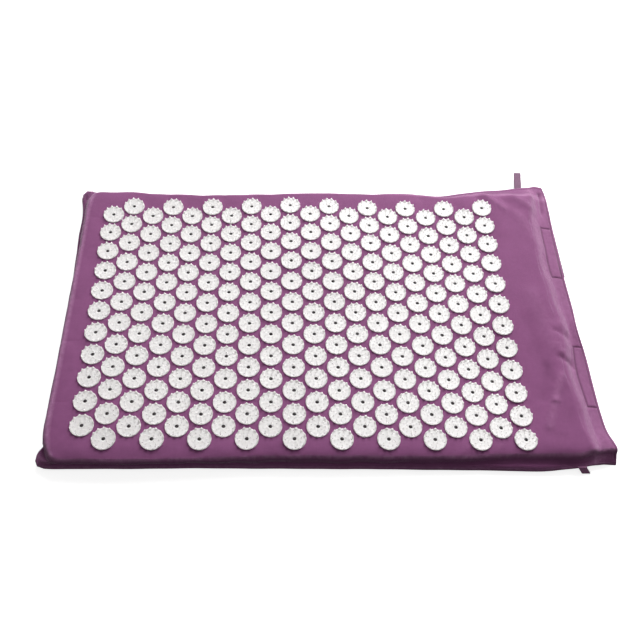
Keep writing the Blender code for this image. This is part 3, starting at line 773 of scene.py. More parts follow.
def build_foam(seat):
    """Slab with rounded edges under the cover, cut from one block."""
    end_x = FOAM_LENGTH / 2 - SIDE_ROUNDING
    along = np.linspace(START_X, end_x, round((end_x - START_X) / FOAM_STEP) + 1)
    across = np.linspace(-HALF_Y, HALF_Y, round(2 * HALF_Y / FOAM_STEP) + 1)
    last_i = len(along) - 1
    last_j = len(across) - 1
    rim = rim_of(last_i, last_j) + [(last_i, j) for j in range(last_j - 1, 0, -1)]
    places = [(i, j, 0.0, 1) for i in range(last_i + 1) for j in range(last_j + 1)]
    levels = [(turn, 1) for turn in FOAM_TURNS[1:]] + [(turn, -1) for turn in reversed(FOAM_TURNS)]
    places += [(i, j, turn, half) for turn, half in levels for i, j in rim]
    places += [(i, j, 0.0, -1) for i in range(1, last_i) for j in range(1, last_j)]
    i, j, turn, half = (np.array(values) for values in zip(*places))
    sign_x = np.where(i == 0, -1.0, np.where(i == last_i, 1.0, 0.0)) * (turn > 0)
    sign_y = np.where(j == 0, -1.0, np.where(j == last_j, 1.0, 0.0)) * (turn > 0)
    points = foam_points(along[i], across[j], sign_x, sign_y, turn, half)
    keep_under(points, seat)

    grid_count = len(along) * len(across)
    edge, lowest = ring_faces([a * len(across) + b for a, b in rim], grid_count, len(levels), True)
    faces = grid_faces(last_i, last_j) + edge
    start = grid_count + len(levels) * len(rim)
    lookup = dict(zip(rim, lowest))

    def floor_index(a, b):
        return lookup[(a, b)] if (a, b) in lookup else start + (a - 1) * (last_j - 1) + b - 1

    faces += [(floor_index(a, b), floor_index(a, b + 1), floor_index(a + 1, b + 1), floor_index(a + 1, b))
              for a in range(last_i) for b in range(last_j)]
    thing = new_mesh_object("foam_slab", points, faces)
    subdivide(thing)
    return thing


# The discs
RIM_SPIKES = 12
MIDDLE_SPIKES = 9
INNER_SPIKES = 6
PLATE_TOP_RADIUS = 0.0136
PLATE_RIM_HEIGHT = 0.00070
PLATE_FOOT_RADIUS = 0.0138
RIM_SPIKE_LEAN = 0.0006
RIM_SPIKE_FOOT = (0.0013, 0.0027)
RIM_SPIKE_TIP = (0.00020, 0.00012)
MIDDLE_SPIKE_RADIUS = 0.0086
INNER_SPIKE_RADIUS = 0.0047
SLIM_SPIKE_HEIGHT = 0.0024
SLIM_SPIKE_FOOT = 0.0006
SLIM_SPIKE_TIP = 0.00010
SPIKE_STOPS = (0.0, 0.2, 0.45, 0.72, 0.93)
SPIKE_CURVE = 1.2
SPIKE_SECTION = ((0.0, 0.55), (0.35, 1.0), (1.0, 0.45), (1.0, -0.45), (0.35, -1.0), (0.0, -0.55))
PIT_PLACES = (0.5, 3.5, 6.5, 9.5)
PIT_RADIUS = 0.0111
PIT_SIZE = 0.00065
COLLAR_RADIUS = 0.0029
COLLAR_HEIGHT = 0.00015
PLATE_SIDES = 48
HOLE_SIDES = 16
PIT_SIDES = 8
DISC_SEED = 11
DISC_JITTER = 0.0003
DISC_TILT = 0.006
DISC_REST = 0.00005
DISC_CREASE_DEG = 35
SEAT_SHARES = (0.0, 0.5, 0.95)
SEAT_SIDES = 12

# Where the cloth has drawn the discs off their even rows: place, spreads along and across, shift
DISC_DRIFTS = (
    (-0.300, 0.050, 0.022, 0.250, 0.0013, 0.0014),
    (-0.285, 0.200, 0.040, 0.035, 0.0020, -0.0018),
    (-0.205, 0.200, 0.030, 0.030, 0.0004, -0.0016),
    (-0.040, 0.130, 0.040, 0.070, -0.0006, 0.0026),
    (0.060, 0.200, 0.025, 0.040, -0.0006, -0.0026),
    (0.110, 0.200, 0.035, 0.030, -0.0016, 0.0000),
    (0.235, 0.115, 0.025, 0.045, 0.0004, 0.0036),
    (0.220, -0.180, 0.120, 0.070, 0.0016, 0.0000),
    (0.235, -0.080, 0.030, 0.060, 0.0004, -0.0014),
    (-0.155, -0.050, 0.050, 0.060, -0.0003, -0.0013),
    (-0.100, -0.190, 0.050, 0.060, -0.0015, 0.0011),
    (-0.280, -0.200, 0.030, 0.050, 0.0000, 0.0010),
    (0.070, 0.020, 0.040, 0.050, 0.0000, 0.0013),
)


def circle(bm, radius, height, count, centre=(0.0, 0.0)):
    angles = [2 * math.pi * k / count for k in range(count)]
    return [bm.verts.new((centre[0] + radius * math.cos(angle), centre[1] + radius * math.sin(angle), height))
            for angle in angles]


def skirt(bm, upper, lower):
    count = len(upper)
    for k in range(count):
        bm.faces.new((upper[k], upper[(k + 1) % count], lower[(k + 1) % count], lower[k]))


def loop_edges(bm, verts):
    """The edges of a closed ring of vertices."""
    return [bm.edges.get((verts[k], verts[(k + 1) % len(verts)])) for k in range(len(verts))]


def spike(bm, turn, levels, tip):
    """A pointed spike whose foot is sunk in the plate and whose outer face follows the disc's round outline.

    Each level is its outer face's distance from the disc's middle, its depth, its half width and its height.
    """
    rings = []
    for outer, deep, half, height in levels:
        ring = []
        for inward, across in SPIKE_SECTION:
            radius = outer - deep * inward
            angle = turn + half * across / outer
            ring.append(bm.verts.new((radius * math.cos(angle), radius * math.sin(angle), height)))
        rings.append(ring)
    for lower, upper in zip(rings, rings[1:]):
        skirt(bm, upper, lower)
    top = bm.verts.new((tip[0] * math.cos(turn), tip[0] * math.sin(turn), tip[1]))
    last = rings[-1]
    for k in range(len(last)):
        bm.faces.new((last[k], last[(k + 1) % len(last)], top))
    bm.faces.new(rings[0][::-1])


def rim_spike_levels():
    rise = DISC_PLATE + SPIKE_HEIGHT - PLATE_RIM_HEIGHT
    levels = []
    for stop in SPIKE_STOPS:
        left = (1.0 - stop) ** SPIKE_CURVE
        levels.append((DISC_RADIUS - RIM_SPIKE_LEAN * stop, RIM_SPIKE_TIP[0] + RIM_SPIKE_FOOT[0] * left,
                       RIM_SPIKE_TIP[1] + RIM_SPIKE_FOOT[1] * left, PLATE_RIM_HEIGHT + rise * stop))
    return levels, (DISC_RADIUS - RIM_SPIKE_LEAN - RIM_SPIKE_TIP[0] / 2, DISC_PLATE + SPIKE_HEIGHT)


def slim_spike_levels(radius):
    levels = []
    for stop in SPIKE_STOPS:
        half = SLIM_SPIKE_TIP + SLIM_SPIKE_FOOT * (1.0 - stop) ** SPIKE_CURVE
        height = DISC_PLATE / 2 + (SLIM_SPIKE_HEIGHT + DISC_PLATE / 2) * stop
        levels.append((radius + half, 2 * half, half, height))
    return levels, (radius, DISC_PLATE + SLIM_SPIKE_HEIGHT)


def plate_shape(bm):
    """A thin plate with a collared hole in its middle and four small holes near its rim."""
    rim = [circle(bm, radius, height, PLATE_SIDES) for radius, height in
           ((PLATE_TOP_RADIUS, DISC_PLATE), (DISC_RADIUS, PLATE_RIM_HEIGHT), (PLATE_FOOT_RADIUS, 0.0))]
    hole = CENTRE_HOLE_DIAMETER / 2
    neck = [circle(bm, radius, height, HOLE_SIDES) for radius, height in
            ((COLLAR_RADIUS, DISC_PLATE), (COLLAR_RADIUS - COLLAR_HEIGHT, DISC_PLATE + COLLAR_HEIGHT),
             (hole, DISC_PLATE + COLLAR_HEIGHT), (hole, 0.0))]
    for upper, lower in [*zip(rim, rim[1:]), *zip(neck, neck[1:])]:
        skirt(bm, upper, lower)
    upper_edges = loop_edges(bm, rim[0]) + loop_edges(bm, neck[0])
    lower_edges = loop_edges(bm, rim[-1]) + loop_edges(bm, neck[-1])
    for place in PIT_PLACES:
        angle = 2 * math.pi * place / RIM_SPIKES
        centre = (PIT_RADIUS * math.cos(angle), PIT_RADIUS * math.sin(angle))
        mouth, foot = (circle(bm, PIT_SIZE, height, PIT_SIDES, centre) for height in (DISC_PLATE, 0.0))
        skirt(bm, mouth, foot)
        upper_edges += loop_edges(bm, mouth)
        lower_edges += loop_edges(bm, foot)
    bmesh.ops.triangle_fill(bm, use_beauty=True, use_dissolve=False, edges=upper_edges, normal=(0, 0, 1))
    bmesh.ops.triangle_fill(bm, use_beauty=True, use_dissolve=False, edges=lower_edges, normal=(0, 0, -1))
    bmesh.ops.recalc_face_normals(bm, faces=bm.faces)


def points_and_faces(bm):
    bm.verts.index_update()
    points = np.array([v.co[:] for v in bm.verts])
    faces = [[v.index for v in f.verts] for f in bm.faces]
    bm.free()
    return points, faces


def disc_shape():
    """One disc with three rings of spikes, as points and faces."""
    bm = bmesh.new()
    plate_shape(bm)
    for count, start, (levels, tip) in (
            (RIM_SPIKES, 0.0, rim_spike_levels()),
            (MIDDLE_SPIKES, 0.5, slim_spike_levels(MIDDLE_SPIKE_RADIUS)),
            (INNER_SPIKES, 0.0, slim_spike_levels(INNER_SPIKE_RADIUS))):
        for k in range(count):
            spike(bm, 2 * math.pi * (k + start) / count, levels, tip)
    return points_and_faces(bm)


# The stud that shows in the hole of each disc, as (radius, height)
STUD_PROFILE = (
    (0.00225, 0.0), (0.00225, 0.00030), (0.00170, 0.00048), (0.00060, 0.00050), (0.00042, 0.00075),
)


def stud_shape():
    bm = bmesh.new()
    rings = [circle(bm, radius, height, HOLE_SIDES) for radius, height in STUD_PROFILE]
    for lower, upper in zip(rings, rings[1:]):
        skirt(bm, upper, lower)
    bm.faces.new(rings[-1])
    bm.faces.new(rings[0][::-1])
    bmesh.ops.recalc_face_normals(bm, faces=bm.faces)
    return points_and_faces(bm)


def drifted(x, y):
    """The centre of a disc where the cloth has drawn it."""
    moved_x, moved_y = x, y
    for place_x, place_y, spread_x, spread_y, shift_x, shift_y in DISC_DRIFTS:
        share = math.exp(-((x - place_x) / spread_x) ** 2 / 2 - ((y - place_y) / spread_y) ** 2 / 2)
        moved_x += share * shift_x
        moved_y += share * shift_y
    return moved_x, moved_y


def seat_of_disc(x, y, seat):
    """Origin and axes of a disc that lies on the cloth."""
    step = DISC_RADIUS / 4
    slope_x = float(top_height(x + step, y) - top_height(x - step, y)) / (2 * step)
    slope_y = float(top_height(x, y + step) - top_height(x, y - step)) / (2 * step)
    normal = Vector((-slope_x, -slope_y, 1.0)).normalized()
    side = Vector((0.0, 1.0, 0.0)).cross(normal).normalized()
    ahead = normal.cross(side)
    centre = Vector((x, y, float(top_height(x, y))))
    lift = -MAT_HEIGHT
    for share in SEAT_SHARES:
        for angle in np.linspace(0.0, 2 * math.pi, SEAT_SIDES, endpoint=False):
            point = centre + (side * math.cos(angle) + ahead * math.sin(angle)) * DISC_RADIUS * share
            found = seat.ray_cast(Vector((point.x, point.y, 2 * MAT_HEIGHT)), Vector((0.0, 0.0, -1.0)))[0]
            if found is not None:
                lift = max(lift, found.z - point.z)
    return centre + Vector((0.0, 0.0, lift + DISC_REST)), side, ahead, normal


def build_discs(seat):
    """The discs, one object a column, and the studs that hold them, in one object."""
    shape, faces = disc_shape()
    stud, stud_faces = stud_shape()
    draws = np.random.default_rng(DISC_SEED)
    things = []
    studs = []
    for number, column in enumerate(disc_places()):
        parts = []
        for place in column:
            x, y = drifted(*place)
            turn = draws.uniform(0.0, 2 * math.pi)
            shift = draws.uniform(-DISC_JITTER, DISC_JITTER, 2)
            origin, side, ahead, normal = seat_of_disc(x + shift[0], y + shift[1], seat)
            tilt_x, tilt_y = draws.normal(0.0, DISC_TILT, 2)
            cos, sin = math.cos(turn), math.sin(turn)
            axes = np.array((np.array(side) * cos + np.array(ahead) * sin,
                             np.array(ahead) * cos - np.array(side) * sin, np.array(normal)))
            tilted = shape.copy()
            tilted[:, 2] += np.maximum(tilt_x * shape[:, 0] + tilt_y * shape[:, 1], 0.0)
            parts.append((np.array(origin) + tilted @ axes, faces))
            studs.append((np.array(origin) + stud @ axes, stud_faces))
        thing = new_mesh_object("discs_%02d" % (number + 1), *join_parts(parts))
        thing.data.set_sharp_from_angle(angle=math.radians(DISC_CREASE_DEG))
        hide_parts("disc_column_%02d" % (number + 1))
        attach(thing, "mat")
        things.append(thing)
    holder = new_mesh_object("disc_studs", *join_parts(studs))
    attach(holder, "mat")
    return things, holder


# Stitches
def sleeve_faces(ring_count, count):
    """Faces of a closed sleeve whose points are given ring by ring, with both ends capped."""
    faces = []
    for start in range(0, (ring_count - 1) * count, count):
        for k in range(count):
            a, b = start + k, start + (k + 1) % count
            faces.append((a, b, b + count, a + count))
    last = (ring_count - 1) * count
    return faces + [tuple(range(count))[::-1], tuple(range(last, last + count))]


def tube(path, radii, sides, ups):
    """Closed tube along a path, as points and faces."""
    path = np.asarray(path, float)
    runs = np.gradient(path, axis=0)
    points = []
    for k, place in enumerate(path):
        run = runs[k] / np.linalg.norm(runs[k])
        side = np.cross(run, ups[k])
        side /= np.linalg.norm(side)
        up = np.cross(side, run)
        for n in range(sides):
            angle = 2 * math.pi * n / sides
            points.append(place + radii[k] * (side * math.cos(angle) + up * math.sin(angle)))
    return np.array(points), sleeve_faces(len(path), sides)


def stitch_row(seat, line, down):
    """Running stitches along a line of (x, y) points, laid on the cloth that a ray along down meets."""
    steps = np.concatenate([[0.0], np.cumsum(np.linalg.norm(np.diff(line, axis=0), axis=1))])
    parts = []
    start = STITCH_GAP
    while start + STITCH_LENGTH < steps[-1]:
        stops = start + STITCH_LENGTH * np.linspace(0.0, 1.0, len(STITCH_RISES))
        places = np.stack([np.interp(stops, steps, line[:, 0]), np.interp(stops, steps, line[:, 1])], axis=1)
        path = []
        ups = []
        for place, rise in zip(places, STITCH_RISES):
            origin = Vector((place[0], place[1], -down * RAY_START))
            found, normal = seat.ray_cast(origin, Vector((0.0, 0.0, down)))[:2]
            if found is None:
                break
            if normal.z * down > 0:
                normal = -normal
            path.append(np.array(found + normal * THREAD * rise))
            ups.append(np.array(normal))
        if len(path) == len(STITCH_RISES):
            parts.append(tube(path, THREAD / 2 * np.array(STITCH_GIRTHS), STITCH_SIDES, ups))
        start += STITCH_LENGTH + STITCH_GAP
    return parts


def seam_line(side):
    """The line of the seam's stitches round the three sewn sides, from mouth to mouth, as (x, y) points."""
    lengthwise = np.arange(HEM_X, START_X, -SEAM_STITCH_STEP)
    crosswise = np.arange(-HALF_Y, HALF_Y, SEAM_STITCH_STEP)
    sides = np.ones(len(lengthwise))
    end = np.ones(len(crosswise))
    x = np.concatenate([lengthwise, START_X * end, lengthwise[::-1]])
    y = np.concatenate([-HALF_Y * sides, crosswise, HALF_Y * sides])
    sign_x = np.concatenate([0.0 * sides, -end, 0.0 * sides])
    sign_y = np.concatenate([-sides, 0.0 * end, sides])
    sign_y[len(lengthwise)] = -1.0
    return skin(x, y, sign_x, sign_y, np.full(len(x), SEAM_STITCH_RING), side)[0][:, :2]


def lip_line(corners):
    """Points along straight runs between corners given as (place along the lip, place across)."""
    places = []
    for (a, b), (c, d) in zip(corners, corners[1:]):
        count = max(2, int(math.hypot(c - a, d - b) / LIP_STITCH_STEP))
        places += [(a + (c - a) * t, b + (d - b) * t) for t in np.linspace(0.0, 1.0, count)]
    x = RIDGE_X + np.array([p[0] for p in places])
    y = np.array([p[1] for p in places])
    zero = np.zeros(len(x))
    return skin(x, y, zero, zero, zero, 1)[0][:, :2]


def build_stitches(top_seat, bottom_seat):
    """The stitches of both seam edges, and those of the hem and the closure's boxes on the upper lip."""
    upper = new_mesh_object("seam_stitches_top", *join_parts(stitch_row(top_seat, seam_line(1), -1)))
    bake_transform(upper)
    lower = new_mesh_object("seam_stitches_bottom", *join_parts(stitch_row(bottom_seat, seam_line(-1), 1)))
    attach(lower, "mat")

    rows = []
    for tape_y in (FAR_TAPE_Y, NEAR_TAPE_Y):
        low = tape_y - BOX_HALF_LENGTH
        high = tape_y + BOX_HALF_LENGTH
        box = [(HEM_STITCH, low), (BOX_INNER, low), (BOX_INNER, high), (HEM_STITCH, high)]
        rows += stitch_row(top_seat, lip_line(box), -1)
    hem = [(HEM_STITCH, -HALF_Y), (HEM_STITCH, HALF_Y)]
    rows += stitch_row(top_seat, lip_line(hem), -1)
    lip = new_mesh_object("lip_stitches", *join_parts(rows))
    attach(lip, "mouth_lip")
    return [upper, lower, lip]


# Hook and loop tapes between the lips
PATCH_INSET = 0.0016
PATCH_WIDTH = TAPE_WIDTH - PATCH_INSET
PATCH_SET_BACK = 0.0007
PATCH_BASE = 0.00045
PATCH_CORNER = 0.0025
PATCH_BEVEL = 0.00012
CORNER_STEPS = 4
TAPE_CREASE_DEG = 50
PILE_SEED = 23
PILE_MARGIN = 0.0016
PILE_END_MARGIN = 0.0012
HOOK_SPACING = 0.0013
PILE_SPACING = 0.0015
HOOK_RADIUS = 0.00013
PILE_RADIUS = 0.00008
PILE_JITTER = 0.0005
PILE_REACH = (0.0005, 0.0009)
PILE_HEIGHT = (0.55, 0.95)
HOOK_ARC = ((0.0, 0.0), (0.0, 0.55), (0.25, 0.9), (0.55, 0.72))
PILE_ARC = ((-1.0, 0.0), (-0.85, 0.6), (0.0, 1.0), (0.85, 0.6), (1.0, 0.0))


def tape_axes(centre_y):
    """Middle of a pair of tapes, and the directions along the lip and out of it."""
    slope = math.atan2(TAPE_ROOT_HEIGHT - HEM_HEIGHT, LIP_LENGTH - LIP_DROP)
    run = np.array((math.cos(slope), 0.0, -math.sin(slope)))
    normal = np.array((math.sin(slope), 0.0, math.cos(slope)))
    place = (LIP_DROP + LIP_LENGTH) / 2 - PATCH_SET_BACK
    return np.array((RIDGE_X + place, centre_y, float(between_lips(place)))), run, normal


def tape_base(side):
    """Woven backing with round corners, as points and faces in (run, across, height from the middle)."""
    outline = []
    for quarter, (sx, sy) in enumerate(((1, 1), (-1, 1), (-1, -1), (1, -1))):
        for k in range(CORNER_STEPS + 1):
            angle = math.pi / 2 * (quarter + k / CORNER_STEPS)
            outline.append((sx * (PATCH_WIDTH / 2 - PATCH_CORNER) + PATCH_CORNER * math.cos(angle),
                            sy * (TAPE_LENGTH / 2 - PATCH_CORNER) + PATCH_CORNER * math.sin(angle)))
    far = CLEARANCE / 2 + TAPE_THICKNESS
    near = far - PATCH_BASE
    levels = [(near, PATCH_BEVEL), (near + PATCH_BEVEL, 0.0), (far - PATCH_BEVEL, 0.0), (far, PATCH_BEVEL)]
    points = []
    for height, inset in levels:
        for a, b in outline:
            points.append((a - math.copysign(inset, a), b - math.copysign(inset, b), side * height))
    faces = sleeve_faces(len(levels), len(outline))
    if side < 0:
        faces = [f[::-1] for f in faces]
    return np.array(points), faces


def tape_pile(kind, side, draws):
    """Small hooks or a fuzz of loops that stand on the backing towards the other tape."""
    parts = []
    root = CLEARANCE / 2 + TAPE_THICKNESS - PATCH_BASE
    room = root - CLEARANCE / 2
    hooks = kind == "hook"
    spacing, thread, arc, sides = ((HOOK_SPACING, HOOK_RADIUS, HOOK_ARC, 4) if hooks else
                                   (PILE_SPACING, PILE_RADIUS, PILE_ARC, 3))
    for a in np.arange(PILE_MARGIN - PATCH_WIDTH / 2, PATCH_WIDTH / 2 - PILE_END_MARGIN, spacing):
        for b in np.arange(PILE_MARGIN - TAPE_LENGTH / 2, TAPE_LENGTH / 2 - PILE_END_MARGIN, spacing):
            spot = np.array((a, b))
            if hooks:
                lean = np.array((0.0, 1.0 if round(a / spacing) % 2 else -1.0))
                reach = high = room
            else:
                spot = spot + draws.uniform(-PILE_JITTER, PILE_JITTER, 2)
                turn = draws.uniform(0.0, 2 * math.pi)
                lean = np.array((math.cos(turn), math.sin(turn)))
                reach = draws.uniform(*PILE_REACH)
                high = room * draws.uniform(*PILE_HEIGHT)
            path = np.array([(*(spot + lean * reach * out), side * (root - high * up)) for out, up in arc])
            ups = np.tile(np.array((lean[1], -lean[0], 0.0)), (len(path), 1))
            parts.append(tube(path, np.full(len(path), thread), sides, ups))
    return parts


def build_tapes():
    draws = np.random.default_rng(PILE_SEED)
    things = []
    for place, centre_y in (("far", FAR_TAPE_Y), ("near", NEAR_TAPE_Y)):
        for kind, side, body in (("hook", 1, "mouth_lip"), ("loop", -1, "mat")):
            middle, run, normal = tape_axes(centre_y)
            points, faces = join_parts([tape_base(side)] + tape_pile(kind, side, draws))
            placed = middle + points @ np.array((run, (0.0, 1.0, 0.0), normal))
            thing = new_mesh_object("%s_tape_patch_%s" % (kind, place), placed, faces)
            thing.data.set_sharp_from_angle(angle=math.radians(TAPE_CREASE_DEG))
            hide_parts("%s_tape_%s" % (kind, place))
            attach(thing, body)
            things.append(thing)
    return things


# Hanging loops
LOOP_HALF = LOOP_TAPE + LOOP_SLOT / 2
LOOP_END_INSET = 0.0004
LOOP_END_GAP = 0.0001
LOOP_SPAN = (0.15, 0.92)
LOOP_STEPS = 9
LOOP_THIN_FROM = 0.8
LOOP_THIN_SHARE = 0.35
LOOP_WAVE = 0.00012
LOOP_WAVE_RUN = 0.0045
LOOP_CREASE_DEG = 60


def droop_to_floor(length):
    """The angle at which a loop's tip rests on the floor."""
    return math.asin(min((SEAM_HEIGHT - LOOP_HALF - FLOOR_CLEARANCE) / (length - 2 * LOOP_HALF), 1.0))


def loop_path(length):
    """Middle line of the tape in a loop that points along its first axis, from one sewn end to the other."""
    middle = (LOOP_SLOT + LOOP_TAPE) / 2
    sewn = LOOP_TAPE / 2 + LOOP_END_GAP
    tip = length - 2 * LOOP_HALF
    path = [(LOOP_END_INSET - LOOP_HALF, sewn), (LOOP_SEWN / 2, sewn)]
    path += [(LOOP_SEWN + t * (tip - LOOP_SEWN), middle) for t in np.linspace(*LOOP_SPAN, LOOP_STEPS)]
    flat = len(path)
    turns = np.linspace(0.0, math.pi, LOOP_STEPS)
    path += [(tip + middle * math.sin(turn), middle * math.cos(turn)) for turn in turns]
    path += [(a, -b) for a, b in reversed(path[:flat])]
    return np.array(path)


def loop_section():
    """The tape across its width, thinner at its edges."""
    upper = []
    for w in np.linspace(-1.0, 1.0, LOOP_STEPS):
        thin = max(abs(w) - LOOP_THIN_FROM, 0.0) / (1.0 - LOOP_THIN_FROM)
        upper.append((w, LOOP_TAPE / 2 * (1.0 - LOOP_THIN_SHARE * thin)))
    return upper + [(w, -h) for w, h in reversed(upper)]


def build_loop(place, side, length, slant, droop_share):
    """A strip of tape folded over at its tip, with both ends sewn into the seam."""
    droop = droop_share * droop_to_floor(length)
    centre_x = RIDGE_X - LOOP_FROM_RIDGE
    seam_y = FOAM_WIDTH / 2 + SIDE_REACH + SEAM_WIDTH
    if side > 0:
        seam_y += float(flare(centre_x + LOOP_WIDTH / 2))
    hinge = np.array((centre_x, side * (seam_y + CLEARANCE + LOOP_HALF), SEAM_HEIGHT))
    path = loop_path(length)
    runs = np.gradient(path, axis=0)
    runs /= np.linalg.norm(runs, axis=1)[:, None]
    outward = np.stack([-runs[:, 1], runs[:, 0]], axis=1)
    section = loop_section()
    points = []
    for middle, away in zip(path, outward):
        wave = LOOP_WAVE * math.sin(middle[0] / LOOP_WAVE_RUN)
        for w, h in section:
            along, height = middle + away * (h + wave)
            shift = slant * max(along, 0.0) / length
            y = along * math.cos(droop) + height * math.sin(droop)
            z = height * math.cos(droop) - along * math.sin(droop)
            points.append(hinge + np.array((w * LOOP_WIDTH / 2 + shift, side * y, z)))
    thing = new_mesh_object("loop_%s" % place, points, sleeve_faces(len(path), len(section)))
    bm = bmesh.new()
    bm.from_mesh(thing.data)
    bmesh.ops.recalc_face_normals(bm, faces=bm.faces)
    bm.to_mesh(thing.data)
    bm.free()
    thing.data.set_sharp_from_angle(angle=math.radians(LOOP_CREASE_DEG))
    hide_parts("hanging_loop_%s" % place)
    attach(thing, "%s_loop" % place)
    return thing


# Materials: the middle range of a noise, and the sockets of the node that mixes two colours
NOISE_RANGE = (0.3, 0.7)
MIX_INPUTS = (6, 7)
MIX_OUTPUT = 2


class Paint:
    """One node material. Each method adds a node and returns its output."""

    def __init__(self, name):
        self.material = bpy.data.materials.new(name)
        self.material.use_nodes = True
        self.tree = self.material.node_tree
        self.shader = self.tree.nodes["Principled BSDF"]

    def node(self, kind, inputs=None, **settings):
        made = self.tree.nodes.new(kind)
        for key, value in settings.items():
            setattr(made, key, value)
        for key, value in (inputs or {}).items():
            if isinstance(value, bpy.types.NodeSocket):
                self.tree.links.new(value, made.inputs[key])
            else:
                made.inputs[key].default_value = value
        return made

    def attribute(self, name, output):
        return self.node("ShaderNodeAttribute", attribute_name=name).outputs[output]

    def place(self):
        return self.node("ShaderNodeTexCoord").outputs["Object"]

    def stretch(self, vector, scale):
        return self.node("ShaderNodeVectorMath", {0: vector, 1: scale}, operation="MULTIPLY").outputs[0]

    def noise(self, vector, scale, detail=3.0, rough=0.55):
        inputs = {"Vector": vector, "Scale": scale, "Detail": detail, "Roughness": rough}
        return self.node("ShaderNodeTexNoise", inputs).outputs["Fac"]

    def maths(self, operation, first, second=0.0, third=0.0):
        inputs = {0: first, 1: second, 2: third}
        return self.node("ShaderNodeMath", inputs, operation=operation).outputs[0]

    def span(self, value, low, high, to_low, to_high):
        inputs = {"Value": value, "From Min": low, "From Max": high, "To Min": to_low, "To Max": to_high}
        return self.node("ShaderNodeMapRange", inputs).outputs["Result"]

    def between(self, noise, low, high):
        return self.span(noise, *NOISE_RANGE, low, high)

    def tones(self, noise, first, second):
        return self.mix(self.between(noise, 0.0, 1.0), first, second)

    def mix(self, share, first, second):
        made = self.node("ShaderNodeMix", {0: share}, data_type="RGBA")
        for index, value in zip(MIX_INPUTS, (first, second)):
            if isinstance(value, bpy.types.NodeSocket):
                self.tree.links.new(value, made.inputs[index])
            else:
                made.inputs[index].default_value = (*value, 1.0)
        return made.outputs[MIX_OUTPUT]

    def bump(self, height, distance, strength=1.0, under=None):
        inputs = {"Height": height, "Distance": distance, "Strength": strength}
        if under is not None:
            inputs["Normal"] = under
        return self.node("ShaderNodeBump", inputs).outputs["Normal"]

    def finish(self, colour, rough, normal=None, **constants):
        for name, value in (("Base Color", colour), ("Roughness", rough), ("Normal", normal)):
            if value is not None:
                self.tree.links.new(value, self.shader.inputs[name])
        for name, value in constants.items():
            self.shader.inputs[name.replace("_", " ")].default_value = value
        return self.material


PLUM = (0.255, 0.076, 0.206)
PLUM_DARK = (0.218, 0.061, 0.174)
PLUM_LIGHT = (0.305, 0.110, 0.254)
# Lighter plum of the painted highlights, partly real wear
PLUM_HIGHLIGHT_AND_WEAR = (0.440, 0.205, 0.375)
# Dark plum of the painted shade in creases and grooves
PLUM_CREASE_SHADE = (0.085, 0.022, 0.064)
SHEEN_TINT = (1.0, 0.80, 0.98, 1.0)
# The thread is painted darker than the cloth: painted shade of the grooves the stitches sink into.
THREAD_SHADE_TONES = ((0.150, 0.045, 0.115), (0.200, 0.066, 0.156))
# The two loops are one tape: the far loop is painted darker, painted shade, and the near one lighter, painted
# light.
FAR_LOOP_SHADED_TONES = ((0.125, 0.045, 0.102), (0.165, 0.066, 0.138))
NEAR_LOOP_LIT_TONES = ((0.400, 0.160, 0.320), (0.480, 0.200, 0.390))
PATCH_TONES = ((0.110, 0.042, 0.095), (0.185, 0.080, 0.160))
FOAM_TONES = ((0.70, 0.62, 0.44), (0.80, 0.74, 0.58))
FOAM_CELL = (0.42, 0.34, 0.20)
PLASTIC_TONES = ((0.900, 0.868, 0.850), (0.935, 0.906, 0.890))
PLASTIC_HAZE = (0.850, 0.818, 0.800)
# Painted light: the plastic glows faintly though it is no lamp, which lifts the shade on the spikes.
PLASTIC_PAINTED_GLOW = (1.0, 0.97, 0.96, 1.0)
PLASTIC_PAINTED_GLOW_STRENGTH = 0.07
# Near-black stud colour: painted shade of the deep centre hole it sits in.
STUD_SHADE_TONES = ((0.010, 0.005, 0.006), (0.022, 0.012, 0.013))
FLOOR_TONES = ((0.78, 0.78, 0.78), (0.80, 0.80, 0.80))
FLOOR_GLOW_STRENGTH = 0.80
WHITE = (1.0, 1.0, 1.0, 1.0)
WEAVE_PITCH = 0.0005
TWILL_TURNS = 6000.0
PATCH_RELIEF = 0.0012
SLUB_RELIEF = 0.00025
WEAVE_RELIEF = 0.00016
TWIST_RELIEF = 0.0001
TAPE_RELIEF = 0.00012
FOAM_RELIEF = 0.0006
GRAIN_RELIEF = 0.00008
STUD_RELIEF = 0.00006
PLASTIC_DEPTH = 0.0040


